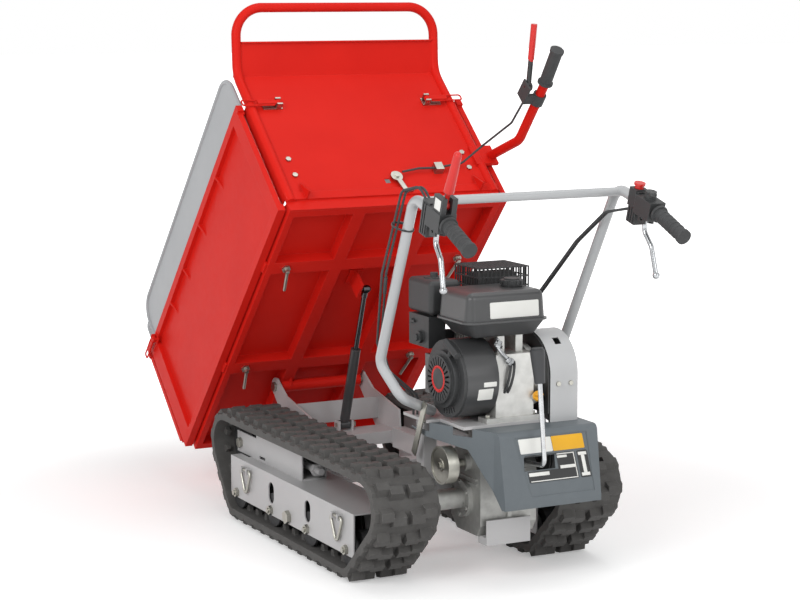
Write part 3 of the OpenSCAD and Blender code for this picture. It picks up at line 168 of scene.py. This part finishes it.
def enamel(name, light, deep, edge, rough=0.34, coat=0.25, other=None, shine=0.5):
    """Sprayed enamel on sheet steel: even, faintly cloudy, with orange peel in the gloss and a painted
    highlight along the edges.
    """
    material, tree, surface, place = begin(name)
    # cloudiness of a hand-sprayed coat, about 150 mm wide
    cloud = add(tree, "ShaderNodeTexNoise", {"Vector": place, "Scale": per_mm(150), "Detail": 3.0})
    tone = add(tree, "ShaderNodeMix", {0: cloud.outputs["Fac"], 6: colour(light), 7: colour(deep)},
               data_type="RGBA")
    # folded edges are about 1.6 mm round; the paler edge colour is a painted highlight, broken into patches
    # by noise
    fold, rim = soft_edges(tree, 0.0016, 0.80, 0.55)
    edge_and_gloss_noise = add(tree, "ShaderNodeTexNoise", {"Vector": place, "Scale": per_mm(22), "Detail": 4.0})
    pale_edge_mask = add(tree, "ShaderNodeMath", {0: rim, 1: edge_and_gloss_noise.outputs["Fac"]}, operation="MULTIPLY")
    tone = add(tree, "ShaderNodeMix", {0: pale_edge_mask.outputs[0], 6: tone.outputs[2], 7: colour(edge)},
               data_type="RGBA")
    if other:
        tone = parted(tree, place, tone.outputs[2], other)
    tree.links.new(tone.outputs[2], surface.inputs["Base Color"])
    # orange peel is about 1 mm wide; drawn at 6 mm so that it shows
    peel = add(tree, "ShaderNodeTexNoise", {"Vector": place, "Scale": per_mm(6), "Detail": 2.0})
    gloss = add(tree, "ShaderNodeMapRange",
                {"Value": edge_and_gloss_noise.outputs["Fac"], "To Min": rough - 0.06, "To Max": rough + 0.08})
    tree.links.new(gloss.outputs[0], surface.inputs["Roughness"])
    bump = add(tree, "ShaderNodeBump", {"Height": peel.outputs["Fac"], "Strength": 0.10, "Distance": 0.0006,
                                        "Normal": fold})
    tree.links.new(bump.outputs[0], surface.inputs["Normal"])
    surface.inputs["Specular IOR Level"].default_value = shine
    surface.inputs["Coat Weight"].default_value = coat
    surface.inputs["Coat Roughness"].default_value = 0.18
    return material


def plastic(name, light, deep, rough, grain, depth=0.25, other=None):
    """Injection-moulded plastic: even colour with faint flow marks, a fine eroded grain and a painted pale
    highlight on its edges.
    """
    material, tree, surface, place = begin(name)
    flow = add(tree, "ShaderNodeTexNoise", {"Vector": place, "Scale": per_mm(60), "Detail": 4.0,
                                            "Distortion": 0.8})
    tone = add(tree, "ShaderNodeMix", {0: flow.outputs["Fac"], 6: colour(light), 7: colour(deep)},
               data_type="RGBA")
    fold, rim = soft_edges(tree, 0.0012, 0.78, 0.22)
    if other:
        tone = parted(tree, place, tone.outputs[2], other)
    # the pale grey on moulded edges is a painted highlight
    tone = add(tree, "ShaderNodeMix", {0: rim, 6: tone.outputs[2], 7: colour("#a6aaac")}, data_type="RGBA")
    tree.links.new(tone.outputs[2], surface.inputs["Base Color"])
    # the grain's real pits are under 1 mm; drawn larger so that they show
    pits = add(tree, "ShaderNodeTexNoise", {"Vector": place, "Scale": per_mm(grain), "Detail": 3.0})
    gloss = add(tree, "ShaderNodeMapRange",
                {"Value": pits.outputs["Fac"], "To Min": rough - 0.08, "To Max": rough + 0.10})
    tree.links.new(gloss.outputs[0], surface.inputs["Roughness"])
    bump = add(tree, "ShaderNodeBump", {"Height": pits.outputs["Fac"], "Strength": depth, "Distance": 0.0006,
                                        "Normal": fold})
    tree.links.new(bump.outputs[0], surface.inputs["Normal"])
    return material


def rubber(name, light, deep, scuff_and_highlight_tone, patch, ripple):
    """Moulded rubber: matt, with a grey bloom in patches, paler scuffed edges that are partly a painted
    highlight, and a slightly uneven skin.
    """
    material, tree, surface, place = begin(name)
    bloom = add(tree, "ShaderNodeTexNoise", {"Vector": place, "Scale": per_mm(patch), "Detail": 6.0,
                                             "Roughness": 0.62})
    tone = add(tree, "ShaderNodeMix", {0: bloom.outputs["Fac"], 6: colour(deep), 7: colour(light)},
               data_type="RGBA")
    fold, rim = soft_edges(tree, 0.003, 0.75, 0.55)
    scuff = add(tree, "ShaderNodeTexNoise", {"Vector": place, "Scale": per_mm(14), "Detail": 5.0})
    scuff = add(tree, "ShaderNodeMapRange",
                {"Value": scuff.outputs["Fac"], "From Min": 0.42, "From Max": 0.66})
    # the paler tone on the edges is partly scuff and partly a painted highlight
    pale_edge_mask = add(tree, "ShaderNodeMath", {0: rim, 1: scuff.outputs[0]}, operation="MULTIPLY")
    tone = add(tree, "ShaderNodeMix", {0: pale_edge_mask.outputs[0], 6: tone.outputs[2], 7: colour(scuff_and_highlight_tone)},
               data_type="RGBA")
    tree.links.new(tone.outputs[2], surface.inputs["Base Color"])
    skin = add(tree, "ShaderNodeTexNoise", {"Vector": place, "Scale": per_mm(ripple), "Detail": 5.0})
    gloss = add(tree, "ShaderNodeMapRange", {"Value": skin.outputs["Fac"], "To Min": 0.55, "To Max": 0.85})
    tree.links.new(gloss.outputs[0], surface.inputs["Roughness"])
    bump = add(tree, "ShaderNodeBump", {"Height": skin.outputs["Fac"], "Strength": 0.35, "Distance": 0.0012,
                                        "Normal": fold})
    tree.links.new(bump.outputs[0], surface.inputs["Normal"])
    surface.inputs["Specular IOR Level"].default_value = 0.4
    return material


def bare_metal(name, light, deep, rough, spot, grit, depth, metallic=1.0):
    """Bare, plated or cast metal: tint and roughness drift in spots, over the skin that its making left."""
    material, tree, surface, place = begin(name)
    drift = add(tree, "ShaderNodeTexNoise", {"Vector": place, "Scale": per_mm(spot), "Detail": 4.0})
    tone = add(tree, "ShaderNodeMix", {0: drift.outputs["Fac"], 6: colour(light), 7: colour(deep)},
               data_type="RGBA")
    tree.links.new(tone.outputs[2], surface.inputs["Base Color"])
    gloss = add(tree, "ShaderNodeMapRange",
                {"Value": drift.outputs["Fac"], "To Min": rough - 0.10, "To Max": rough + 0.12})
    tree.links.new(gloss.outputs[0], surface.inputs["Roughness"])
    fold = add(tree, "ShaderNodeBevel", {"Radius": 0.001}, samples=4)
    sand = add(tree, "ShaderNodeTexNoise", {"Vector": place, "Scale": per_mm(grit), "Detail": 3.0})
    bump = add(tree, "ShaderNodeBump", {"Height": sand.outputs["Fac"], "Strength": depth, "Distance": 0.0008,
                                        "Normal": fold.outputs[0]})
    tree.links.new(bump.outputs[0], surface.inputs["Normal"])
    surface.inputs["Metallic"].default_value = metallic
    return material


def lever_finish():
    """The shift lever: a plated rod below and a black moulded grip above, parted at the grip's foot."""
    material, tree, surface, place = begin("plated_rod_and_grip")
    rise = add(tree, "ShaderNodeSeparateXYZ", {0: place})
    grip = add(tree, "ShaderNodeMath", {0: rise.outputs[2], 1: GRIP_FOOT}, operation="GREATER_THAN")
    drift = add(tree, "ShaderNodeTexNoise", {"Vector": place, "Scale": per_mm(20), "Detail": 4.0})
    plate = add(tree, "ShaderNodeMix", {0: drift.outputs["Fac"], 6: colour("#c9cacb"), 7: colour("#a4a6a8")},
                data_type="RGBA")
    tone = add(tree, "ShaderNodeMix", {0: grip.outputs[0], 6: plate.outputs[2], 7: colour("#363739")},
               data_type="RGBA")
    tree.links.new(tone.outputs[2], surface.inputs["Base Color"])
    bare = add(tree, "ShaderNodeMath", {0: 1.0, 1: grip.outputs[0]}, operation="SUBTRACT")
    tree.links.new(bare.outputs[0], surface.inputs["Metallic"])
    gloss = add(tree, "ShaderNodeMapRange", {"Value": grip.outputs[0], "To Min": 0.24, "To Max": 0.55})
    tree.links.new(gloss.outputs[0], surface.inputs["Roughness"])
    pits = add(tree, "ShaderNodeTexNoise", {"Vector": place, "Scale": per_mm(3), "Detail": 2.0})
    bump = add(tree, "ShaderNodeBump", {"Height": pits.outputs["Fac"], "Strength": 0.12, "Distance": 0.0006})
    tree.links.new(bump.outputs[0], surface.inputs["Normal"])
    return material


def make_finishes():
    """Every finish on the machine, by the name of the real material."""
    return {
        # the third colour of each enamel below is the painted highlight along its edges
        # bright red enamel on folded sheet and tube
        "red_enamel": enamel("red_enamel_on_sheet_steel", "#dc261c", "#cd1e16", "#ee6f64", 0.46, 0.02,
                             shine=0.07),
        # red vinyl dip and moulded red knobs: a little softer in gloss than the enamel
        "red_plastic": plastic("red_moulded_plastic", "#d8241e", "#c41c17", 0.34, 3.0, 0.10),
        # release lever: red vinyl dip over a black foot, parted across its length
        "dipped_lever": plastic("red_vinyl_dip_over_black", "#262728", "#1f2021", 0.36, 3.0, 0.10,
                                other=("#d4221c", *DIP_END)),
        # mid-grey enamel of the extension panels
        "grey_enamel": enamel("grey_enamel_on_sheet_steel", "#a9abad", "#9d9fa2", "#d5d6d7", 0.42, 0.1),
        # pale grey enamel of the chassis and track frames
        "chassis_enamel": enamel("pale_grey_chassis_enamel", "#bebdbd", "#b1b0b1", "#dcdcdc", 0.42, 0.1),
        # belt cover sheet in pale grey, coloured near black behind the seam with its back plate
        "cover_enamel": enamel("pale_grey_cover_enamel", "#c6c7c8", "#bcbdbe", "#e2e2e2", 0.36, 0.2,
                               other=("#242526", *COVER_SEAM)),
        # silver-grey enamel of the handlebar tube
        "tube_enamel": enamel("silver_grey_tube_enamel", "#b9bbbc", "#aaacae", "#d8d9da", 0.30, 0.3),
        # semi-gloss black enamel on pressed engine sheet
        "black_enamel": enamel("black_engine_enamel", "#414243", "#383839", "#77797a", 0.36, 0.2),
        # matt heat paint on the muffler and its guard
        "heat_paint": plastic("black_heat_paint", "#2c2c2d", "#232324", 0.62, 2.0, 0.2),
        # track rubber, paler at its edges: partly scuff, partly a painted highlight
        "track_rubber": rubber("moulded_track_rubber", "#5a5957", "#413f3e", "#8d8b88", 38.0, 5.0),
        # hard rubber of grips, belt and cable jackets
        "grip_rubber": rubber("black_grip_rubber", "#48494a", "#353637", "#747677", 24.0, 2.5),
        # graphite-black moulded covers
        "black_plastic": plastic("black_moulded_plastic", "#353637", "#2a2b2c", 0.50, 2.0),
        # blue-grey polypropylene of the console
        "console_plastic": plastic("blue_grey_polypropylene", "#666d71", "#5a6166", 0.46, 2.4),
        # bright yellow moulded oil cap
        "yellow_plastic": plastic("yellow_moulded_plastic", "#f2b11a", "#e09b0c", 0.35, 3.0, 0.1),
        # zinc plate: warm-grey drift in the passivation
        "zinc_plate": bare_metal("zinc_plated_steel", "#b9b8b0", "#9d9b92", 0.34, 14.0, 3.0, 0.10),
        # hand levers: bright polished plate
        "bright_plate": bare_metal("polished_lever_alloy", "#b4b6b8", "#9c9ea0", 0.18, 30.0, 4.0, 0.04),
        # strut rod: dark hard-chromed steel
        "dark_rod": bare_metal("hard_chromed_strut_rod", "#5c5d5f", "#4b4c4e", 0.22, 30.0, 4.0, 0.03),
        # plain printed plates: matt film in white, amber and black
        "white_film": plastic("white_label_film", "#eeeeea", "#e4e4df", 0.42, 4.0, 0.05),
        "amber_film": plastic("amber_label_film", "#efb41c", "#e5a812", 0.42, 4.0, 0.05),
        "black_film": plastic("black_label_film", "#232425", "#1c1d1e", 0.38, 4.0, 0.05),
        # nylon strap with its draw marks
        "nylon": plastic("black_nylon_strap", "#2a2b2c", "#202122", 0.45, 2.0, 0.15),
        # sand-cast gear housing with its grainy skin
        "sand_casting": bare_metal("sand_cast_aluminium", "#b1b1ae", "#949491", 0.52, 18.0, 2.6, 0.45, 0.85),
        # die-cast engine block: finer and brighter than the gear housing
        "die_casting": bare_metal("die_cast_aluminium", "#cececb", "#b4b4b1", 0.44, 22.0, 2.2, 0.25, 0.8),
        # dark cast wheels with a dusty paint, paler at their rims: partly scuff, partly a painted highlight
        "wheel_casting": rubber("dark_painted_casting", "#3d3d3e", "#2b2b2c", "#7c7b79", 26.0, 3.0),
        # shift lever: bright rod under a dark grip
        "lever_rod": lever_finish(),
    }


WEARS = {
    "red_enamel": ("bed_base", "headboard", "left_side", "right_side", "front_gate", "rear_left_toggle",
                   "rear_right_toggle", "front_left_toggle", "front_right_toggle"),
    "red_plastic": ("clutch_lever", "stop_button"),
    "dipped_lever": ("release_lever",),
    "grey_enamel": ("left_extension", "right_extension", "front_extension"),
    "chassis_enamel": ("chassis_frame", "track_frames"),
    "cover_enamel": ("belt_cover",),
    "tube_enamel": ("handlebar",),
    "black_enamel": ("blower_housing", "fuel_tank", "strut_cylinder"),
    "heat_paint": ("muffler",),
    "track_rubber": ("left_track", "right_track"),
    "grip_rubber": ("handlebar_grips", "bed_grip", "drive_belt", "control_cables", "release_cable"),
    "black_plastic": ("recoil_cover", "starter_handle", "fuel_cap", "air_filter", "carburettor",
                      "control_housings", "throttle_lever"),
    "console_plastic": ("console_cover",),
    "yellow_plastic": ("dipstick",),
    "zinc_plate": ("fasteners", "bed_hardware", "latch_hook", "left_tie_rings", "right_tie_rings",
                   "brake_drum"),
    "dark_rod": ("strut_rod",),
    "bright_plate": ("left_steering_lever", "right_steering_lever"),
    "sand_casting": ("gearbox",),
    "die_casting": ("crankcase",),
    "wheel_casting": ("left_sprocket", "right_sprocket", "idlers", "rollers_rear", "rollers_mid_rear",
                      "rollers_mid_front", "rollers_front", "gearbox_pulley", "engine_pulley"),
    "lever_rod": ("shift_lever",),
}


def dress_nodes(finishes):
    """Gives every node of the frame its finish."""
    for finish, names in WEARS.items():
        for name in names:
            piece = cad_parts[name]
            if not piece.material_slots:
                piece.data.materials.append(None)
            for slot in piece.material_slots:
                slot.material = finishes[finish]


# small pieces that the solids leave to the looks

BACK = 0.1594  # the frame's origin lies this far ahead of the datum that the places below are measured from
FACE_TILT = 81.866  # lean of the console's rear face, in degrees from level
FACE = Matrix.Translation((0.0, -0.5857 - BACK, 0.385)) @ Matrix.Rotation(math.radians(FACE_TILT), 4, "X")
FAN_Y, FAN_Z = -0.415 - BACK, 0.512  # axis of the blower housing and the recoil cover
BLOWER_RADIUS = 0.098
FILM_GAP = 0.0003  # a plate's face stands this far off the round that it covers


def choose(piece, wanted):
    """Goes into edit mode with only the wanted faces selected."""
    bpy.ops.object.mode_set(mode="EDIT")
    bpy.ops.mesh.select_mode(type="FACE")
    bpy.ops.mesh.select_all(action="DESELECT")
    bpy.ops.object.mode_set(mode="OBJECT")
    for face in piece.data.polygons:
        face.select = wanted(face)
    bpy.ops.object.mode_set(mode="EDIT")


def finish_piece(piece, place, material):
    """Moves a finished mesh to its place on the chassis and gives it its finish."""
    bpy.ops.object.mode_set(mode="OBJECT")
    piece.data.transform(place)
    piece.data.materials.append(material)
    bpy.ops.object.shade_smooth_by_angle(angle=math.radians(35))
    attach(piece, "chassis")


def thicken(piece, depth):
    """Gives a flat sheet its thickness, downwards from its face."""
    bpy.ops.object.mode_set(mode="OBJECT")
    wall = piece.modifiers.new("sheet", "SOLIDIFY")
    wall.thickness = depth
    wall.offset = -1.0
    bpy.ops.object.modifier_apply(modifier=wall.name)


def flat_plate(name, x, y, corner, notch=None):
    """A thin level plate with rounded corners, a soft rim and, if asked, a notch in its left side."""
    bpy.ops.object.select_all(action="DESELECT")
    bpy.ops.mesh.primitive_plane_add(size=1.0, location=((x[0] + x[1]) / 2, (y[0] + y[1]) / 2, 0.0))
    plate = bpy.context.object
    plate.name = name
    plate.scale = (x[1] - x[0], y[1] - y[0], 1.0)
    bpy.ops.object.transform_apply(location=True, rotation=True, scale=True)
    bpy.ops.object.mode_set(mode="EDIT")
    bpy.ops.mesh.select_all(action="SELECT")
    bpy.ops.mesh.bevel(offset=corner, segments=5, affect="VERTICES")
    if notch:
        right, low, high = notch
        for at, way in (((right, 0, 0), (1, 0, 0)), ((0, low, 0), (0, 1, 0)), ((0, high, 0), (0, 1, 0))):
            bpy.ops.mesh.select_all(action="SELECT")
            bpy.ops.mesh.bisect(plane_co=at, plane_no=way)
        choose(plate, lambda f: f.center.x < right and low < f.center.y < high)
        bpy.ops.mesh.delete(type="FACE")
    thicken(plate, 0.001)
    edge = plate.modifiers.new("soft_rim", "BEVEL")
    edge.width = 0.0003
    edge.segments = 2
    edge.limit_method = "ANGLE"
    bpy.ops.object.modifier_apply(modifier=edge.name)
    return plate


def printed_bars(name, bars):
    """Plain printed bars as one thin film, each with its corners a little rounded."""
    pieces = []
    for left, right, low, high in bars:
        pieces.append(flat_plate(f"{name}_{len(pieces)}", (left, right), (low, high), 0.0008))
    for piece in pieces:
        piece.select_set(True)
    bpy.context.view_layer.objects.active = pieces[0]
    bpy.ops.object.join()
    pieces[0].name = name
    return pieces[0]


def console_plates():
    """A bare two-field plate, the gate plate and the upright plate with plain bars, in the sunk panel."""
    sunk = FACE @ Matrix.Translation((0.0, 0.0, -0.0008))
    over = FACE @ Matrix.Translation((0.0, 0.0, -0.0004))
    # the panel's left side leans, and the plates lean with it
    slope = -0.16
    upright_at = 0.0485
    lean = Matrix.Identity(4)
    lean[0][1] = slope
    lean[0][3] = slope * upright_at
    white = flat_plate("console_plate_white", (0.001, 0.093), (-0.043, -0.006), 0.003)
    finish_piece(white, sunk @ lean, finishes["white_film"])
    amber = flat_plate("console_plate_amber", (0.094, 0.184), (-0.043, -0.006), 0.003)
    finish_piece(amber, sunk @ lean, finishes["amber_film"])
    gate = flat_plate("gate_plate", (0.010, 0.152), (-0.116, -0.048), 0.003, (0.099, -0.0875, -0.0505))
    finish_piece(gate, sunk @ lean, finishes["black_film"])
    bars = printed_bars("gate_bars", (
        (0.100, 0.150, -0.0525, -0.050), (0.147, 0.1495, -0.114, -0.0525), (0.014, 0.147, -0.114, -0.1115),
        (0.100, 0.128, -0.061, -0.055), (0.104, 0.147, -0.088, -0.080), (0.012, 0.070, -0.100, -0.091)))
    finish_piece(bars, over @ lean, finishes["white_film"])
    mark = flat_plate("upright_plate", (0.158, 0.188), (-0.116, -0.048), 0.003)
    finish_piece(mark, sunk @ lean, finishes["black_film"])
    mark = printed_bars("upright_bars", (
        (0.161, 0.185, -0.060, -0.052), (0.168, 0.178, -0.104, -0.060), (0.161, 0.185, -0.112, -0.104)))
    finish_piece(mark, over @ lean, finishes["white_film"])


def recoil_badge():
    """A plain dark disc in a red moulded ring, over the round recess of the recoil cover."""
    bpy.ops.object.select_all(action="DESELECT")
    bpy.ops.mesh.primitive_cylinder_add(vertices=64, radius=0.0335, depth=0.002, location=(0.0, 0.0, 0.001))
    ring = bpy.context.object
    ring.name = "recoil_ring"
    choose(ring, lambda f: f.normal.z > 0.9)
    bpy.ops.mesh.inset(thickness=0.0035)
    bpy.ops.transform.translate(value=(0.0, 0.0, 0.0012))
    bpy.ops.mesh.inset(thickness=0.0035)
    bpy.ops.transform.translate(value=(0.0, 0.0, -0.002))
    place = Matrix.Translation((-0.135, FAN_Y, FAN_Z)) @ Matrix.Rotation(-math.pi / 2, 4, "Y")
    finish_piece(ring, place, finishes["red_plastic"])
    bpy.ops.object.select_all(action="DESELECT")
    bpy.ops.mesh.primitive_cylinder_add(vertices=64, radius=0.0265, depth=0.001, location=(0.0, 0.0, 0.0017))
    disc = bpy.context.object
    disc.name = "recoil_disc"
    choose(disc, lambda f: f.normal.z > 0.9)
    bpy.ops.mesh.inset(thickness=0.006)
    bpy.ops.transform.translate(value=(0.0, 0.0, 0.0008))
    bpy.ops.mesh.inset(thickness=0.012)
    bpy.ops.transform.translate(value=(0.0, 0.0, 0.0004))
    finish_piece(disc, place, finishes["black_film"])


def engine_plates():
    """Bare white plates on the rear of the tank and on the round of the blower housing."""
    tank = flat_plate("tank_plate", (-0.040, 0.098), (-0.022, 0.018), 0.003)
    seat = Matrix.Translation((0.0, -0.5056 - BACK, 0.690)) @ Matrix.Rotation(math.radians(85.5), 4, "X")
    finish_piece(tank, seat, finishes["white_film"])
    for name, x, half, z in (("blower_plate_upper", (-0.060, -0.024), 0.006, 0.507),
                             ("blower_plate_lower", (-0.074, -0.032), 0.015, 0.482)):
        plate = flat_plate(name, x, (-half, half), 0.002)
        rise = math.asin((z - FAN_Z) / BLOWER_RADIUS)
        seat = Matrix.Translation((0.0, FAN_Y - (BLOWER_RADIUS + FILM_GAP) * math.cos(rise), z))
        seat = seat @ Matrix.Rotation(math.pi / 2 - rise, 4, "X")
        finish_piece(plate, seat, finishes["white_film"])


def bent_line(name, points, radius, material):
    """A tube along a smooth route of five points, with closed ends."""
    bpy.ops.object.select_all(action="DESELECT")
    bpy.ops.curve.primitive_nurbs_path_add()
    line = bpy.context.object
    line.name = name
    for point, place in zip(line.data.splines[0].points, points):
        point.co = (place[0], place[1] - BACK, place[2], 1.0)
    line.data.bevel_depth = radius
    line.data.bevel_resolution = 4
    line.data.use_fill_caps = True
    bpy.ops.object.convert(target="MESH")
    finish_piece(line, Matrix.Identity(4), material)


def hex_fitting(name, place, tilt, material):
    """A turned fitting with a hexagon foot, a round neck and a rounded end."""
    bpy.ops.object.select_all(action="DESELECT")
    bpy.ops.mesh.primitive_cylinder_add(vertices=6, radius=0.011, depth=0.008)
    nut = bpy.context.object
    nut.name = name
    choose(nut, lambda f: f.normal.z > 0.9)
    bpy.ops.mesh.inset(thickness=0.003)
    bpy.ops.mesh.extrude_region_move(TRANSFORM_OT_translate={"value": (0.0, 0.0, 0.010)})
    bpy.ops.mesh.bevel(offset=0.002, segments=3)
    choose(nut, lambda f: f.normal.z < -0.9)
    bpy.ops.mesh.bevel(offset=0.0015, segments=2)
    seat = Matrix.Translation((place[0], place[1] - BACK, place[2])) @ Matrix.Rotation(tilt, 4, "Y")
    finish_piece(nut, seat, material)


def fuel_fittings():
    """The bright fuel line from the tank's tap across the crankcase, and the black leads beside it."""
    bright = finishes["bright_plate"]
    bent_line("fuel_line", ((-0.008, -0.487, 0.614), (-0.024, -0.499, 0.594), (0.002, -0.501, 0.574),
                            (0.018, -0.499, 0.562), (0.030, -0.490, 0.548)), 0.0052, bright)
    hex_fitting("fuel_tap", (-0.012, -0.497, 0.598), math.radians(20), bright)
    hex_fitting("fuel_union", (0.022, -0.499, 0.556), math.radians(-50), bright)
    leads = ((0.0, 0.0), (0.009, -0.003))
    for name, (across, back) in zip(("stop_lead", "sensor_lead"), leads):
        bent_line(name, ((0.026 + across, -0.494, 0.556), (0.024 + across, -0.503 + back, 0.536),
                         (0.014 + across, -0.503 + back, 0.515), (0.016 + across, -0.499 + back, 0.495),
                         (0.010 + across, -0.490, 0.478)), 0.0035, finishes["grip_rubber"])


def clutch_label():
    """A bare white plate on the outer cheek of the clutch lever's base."""
    label = flat_plate("clutch_base_plate", (0.006, 0.034), (0.028, 0.054), 0.002)
    outward = Matrix(((0.0, 0.0, -1.0), (-1.0, 0.0, 0.0), (0.0, 1.0, 0.0))).to_4x4()
    # the handlebar drops 48 mm in 172 mm towards its grips
    tilt = math.atan2(48, 172)
    seat = Matrix.Translation((-0.3068, -0.6987 - BACK, 0.9475)) @ Matrix.Rotation(tilt, 4, "X")
    finish_piece(label, seat @ outward, finishes["white_film"])


def cable_strap(name, middle, along, across, reach, wide):
    """A nylon strap round a tube and its cables, with the square head of its lock."""
    bpy.ops.object.select_all(action="DESELECT")
    bpy.ops.mesh.primitive_cylinder_add(vertices=40, radius=1.0, depth=0.005, end_fill_type="NOTHING")
    strap = bpy.context.object
    strap.name = name
    strap.scale = (reach, wide, 1.0)
    bpy.ops.object.transform_apply(location=False, rotation=False, scale=True)
    band = strap.modifiers.new("band", "SOLIDIFY")
    band.thickness = 0.0014
    band.offset = 1.0
    bpy.ops.object.modifier_apply(modifier=band.name)
    choose(strap, lambda f: f.normal.y > 0.97 and f.center.y > 0.0)
    bpy.ops.mesh.extrude_region_move(TRANSFORM_OT_translate={"value": (0.0, 0.0035, 0.0)})
    z = along.normalized()
    x = (across - z * across.dot(z)).normalized()
    turn = Matrix((x, z.cross(x), z)).transposed().to_4x4()
    finish_piece(strap, Matrix.Translation(middle) @ turn, finishes["nylon"])


place_camera()
lay_floor()
light_studio()
finishes = make_finishes()
dress_nodes(finishes)
console_plates()
recoil_badge()
engine_plates()
fuel_fittings()
clutch_label()
cable_strap("left_cable_strap", Vector((-0.2876, -0.5195 - BACK, 0.9086)), Vector((0.0411, 0.4583, -0.8878)),
            Vector((-0.73, 0.60, 0.28)), 0.0272, 0.0142)

scene.view_settings.view_transform = "Standard"
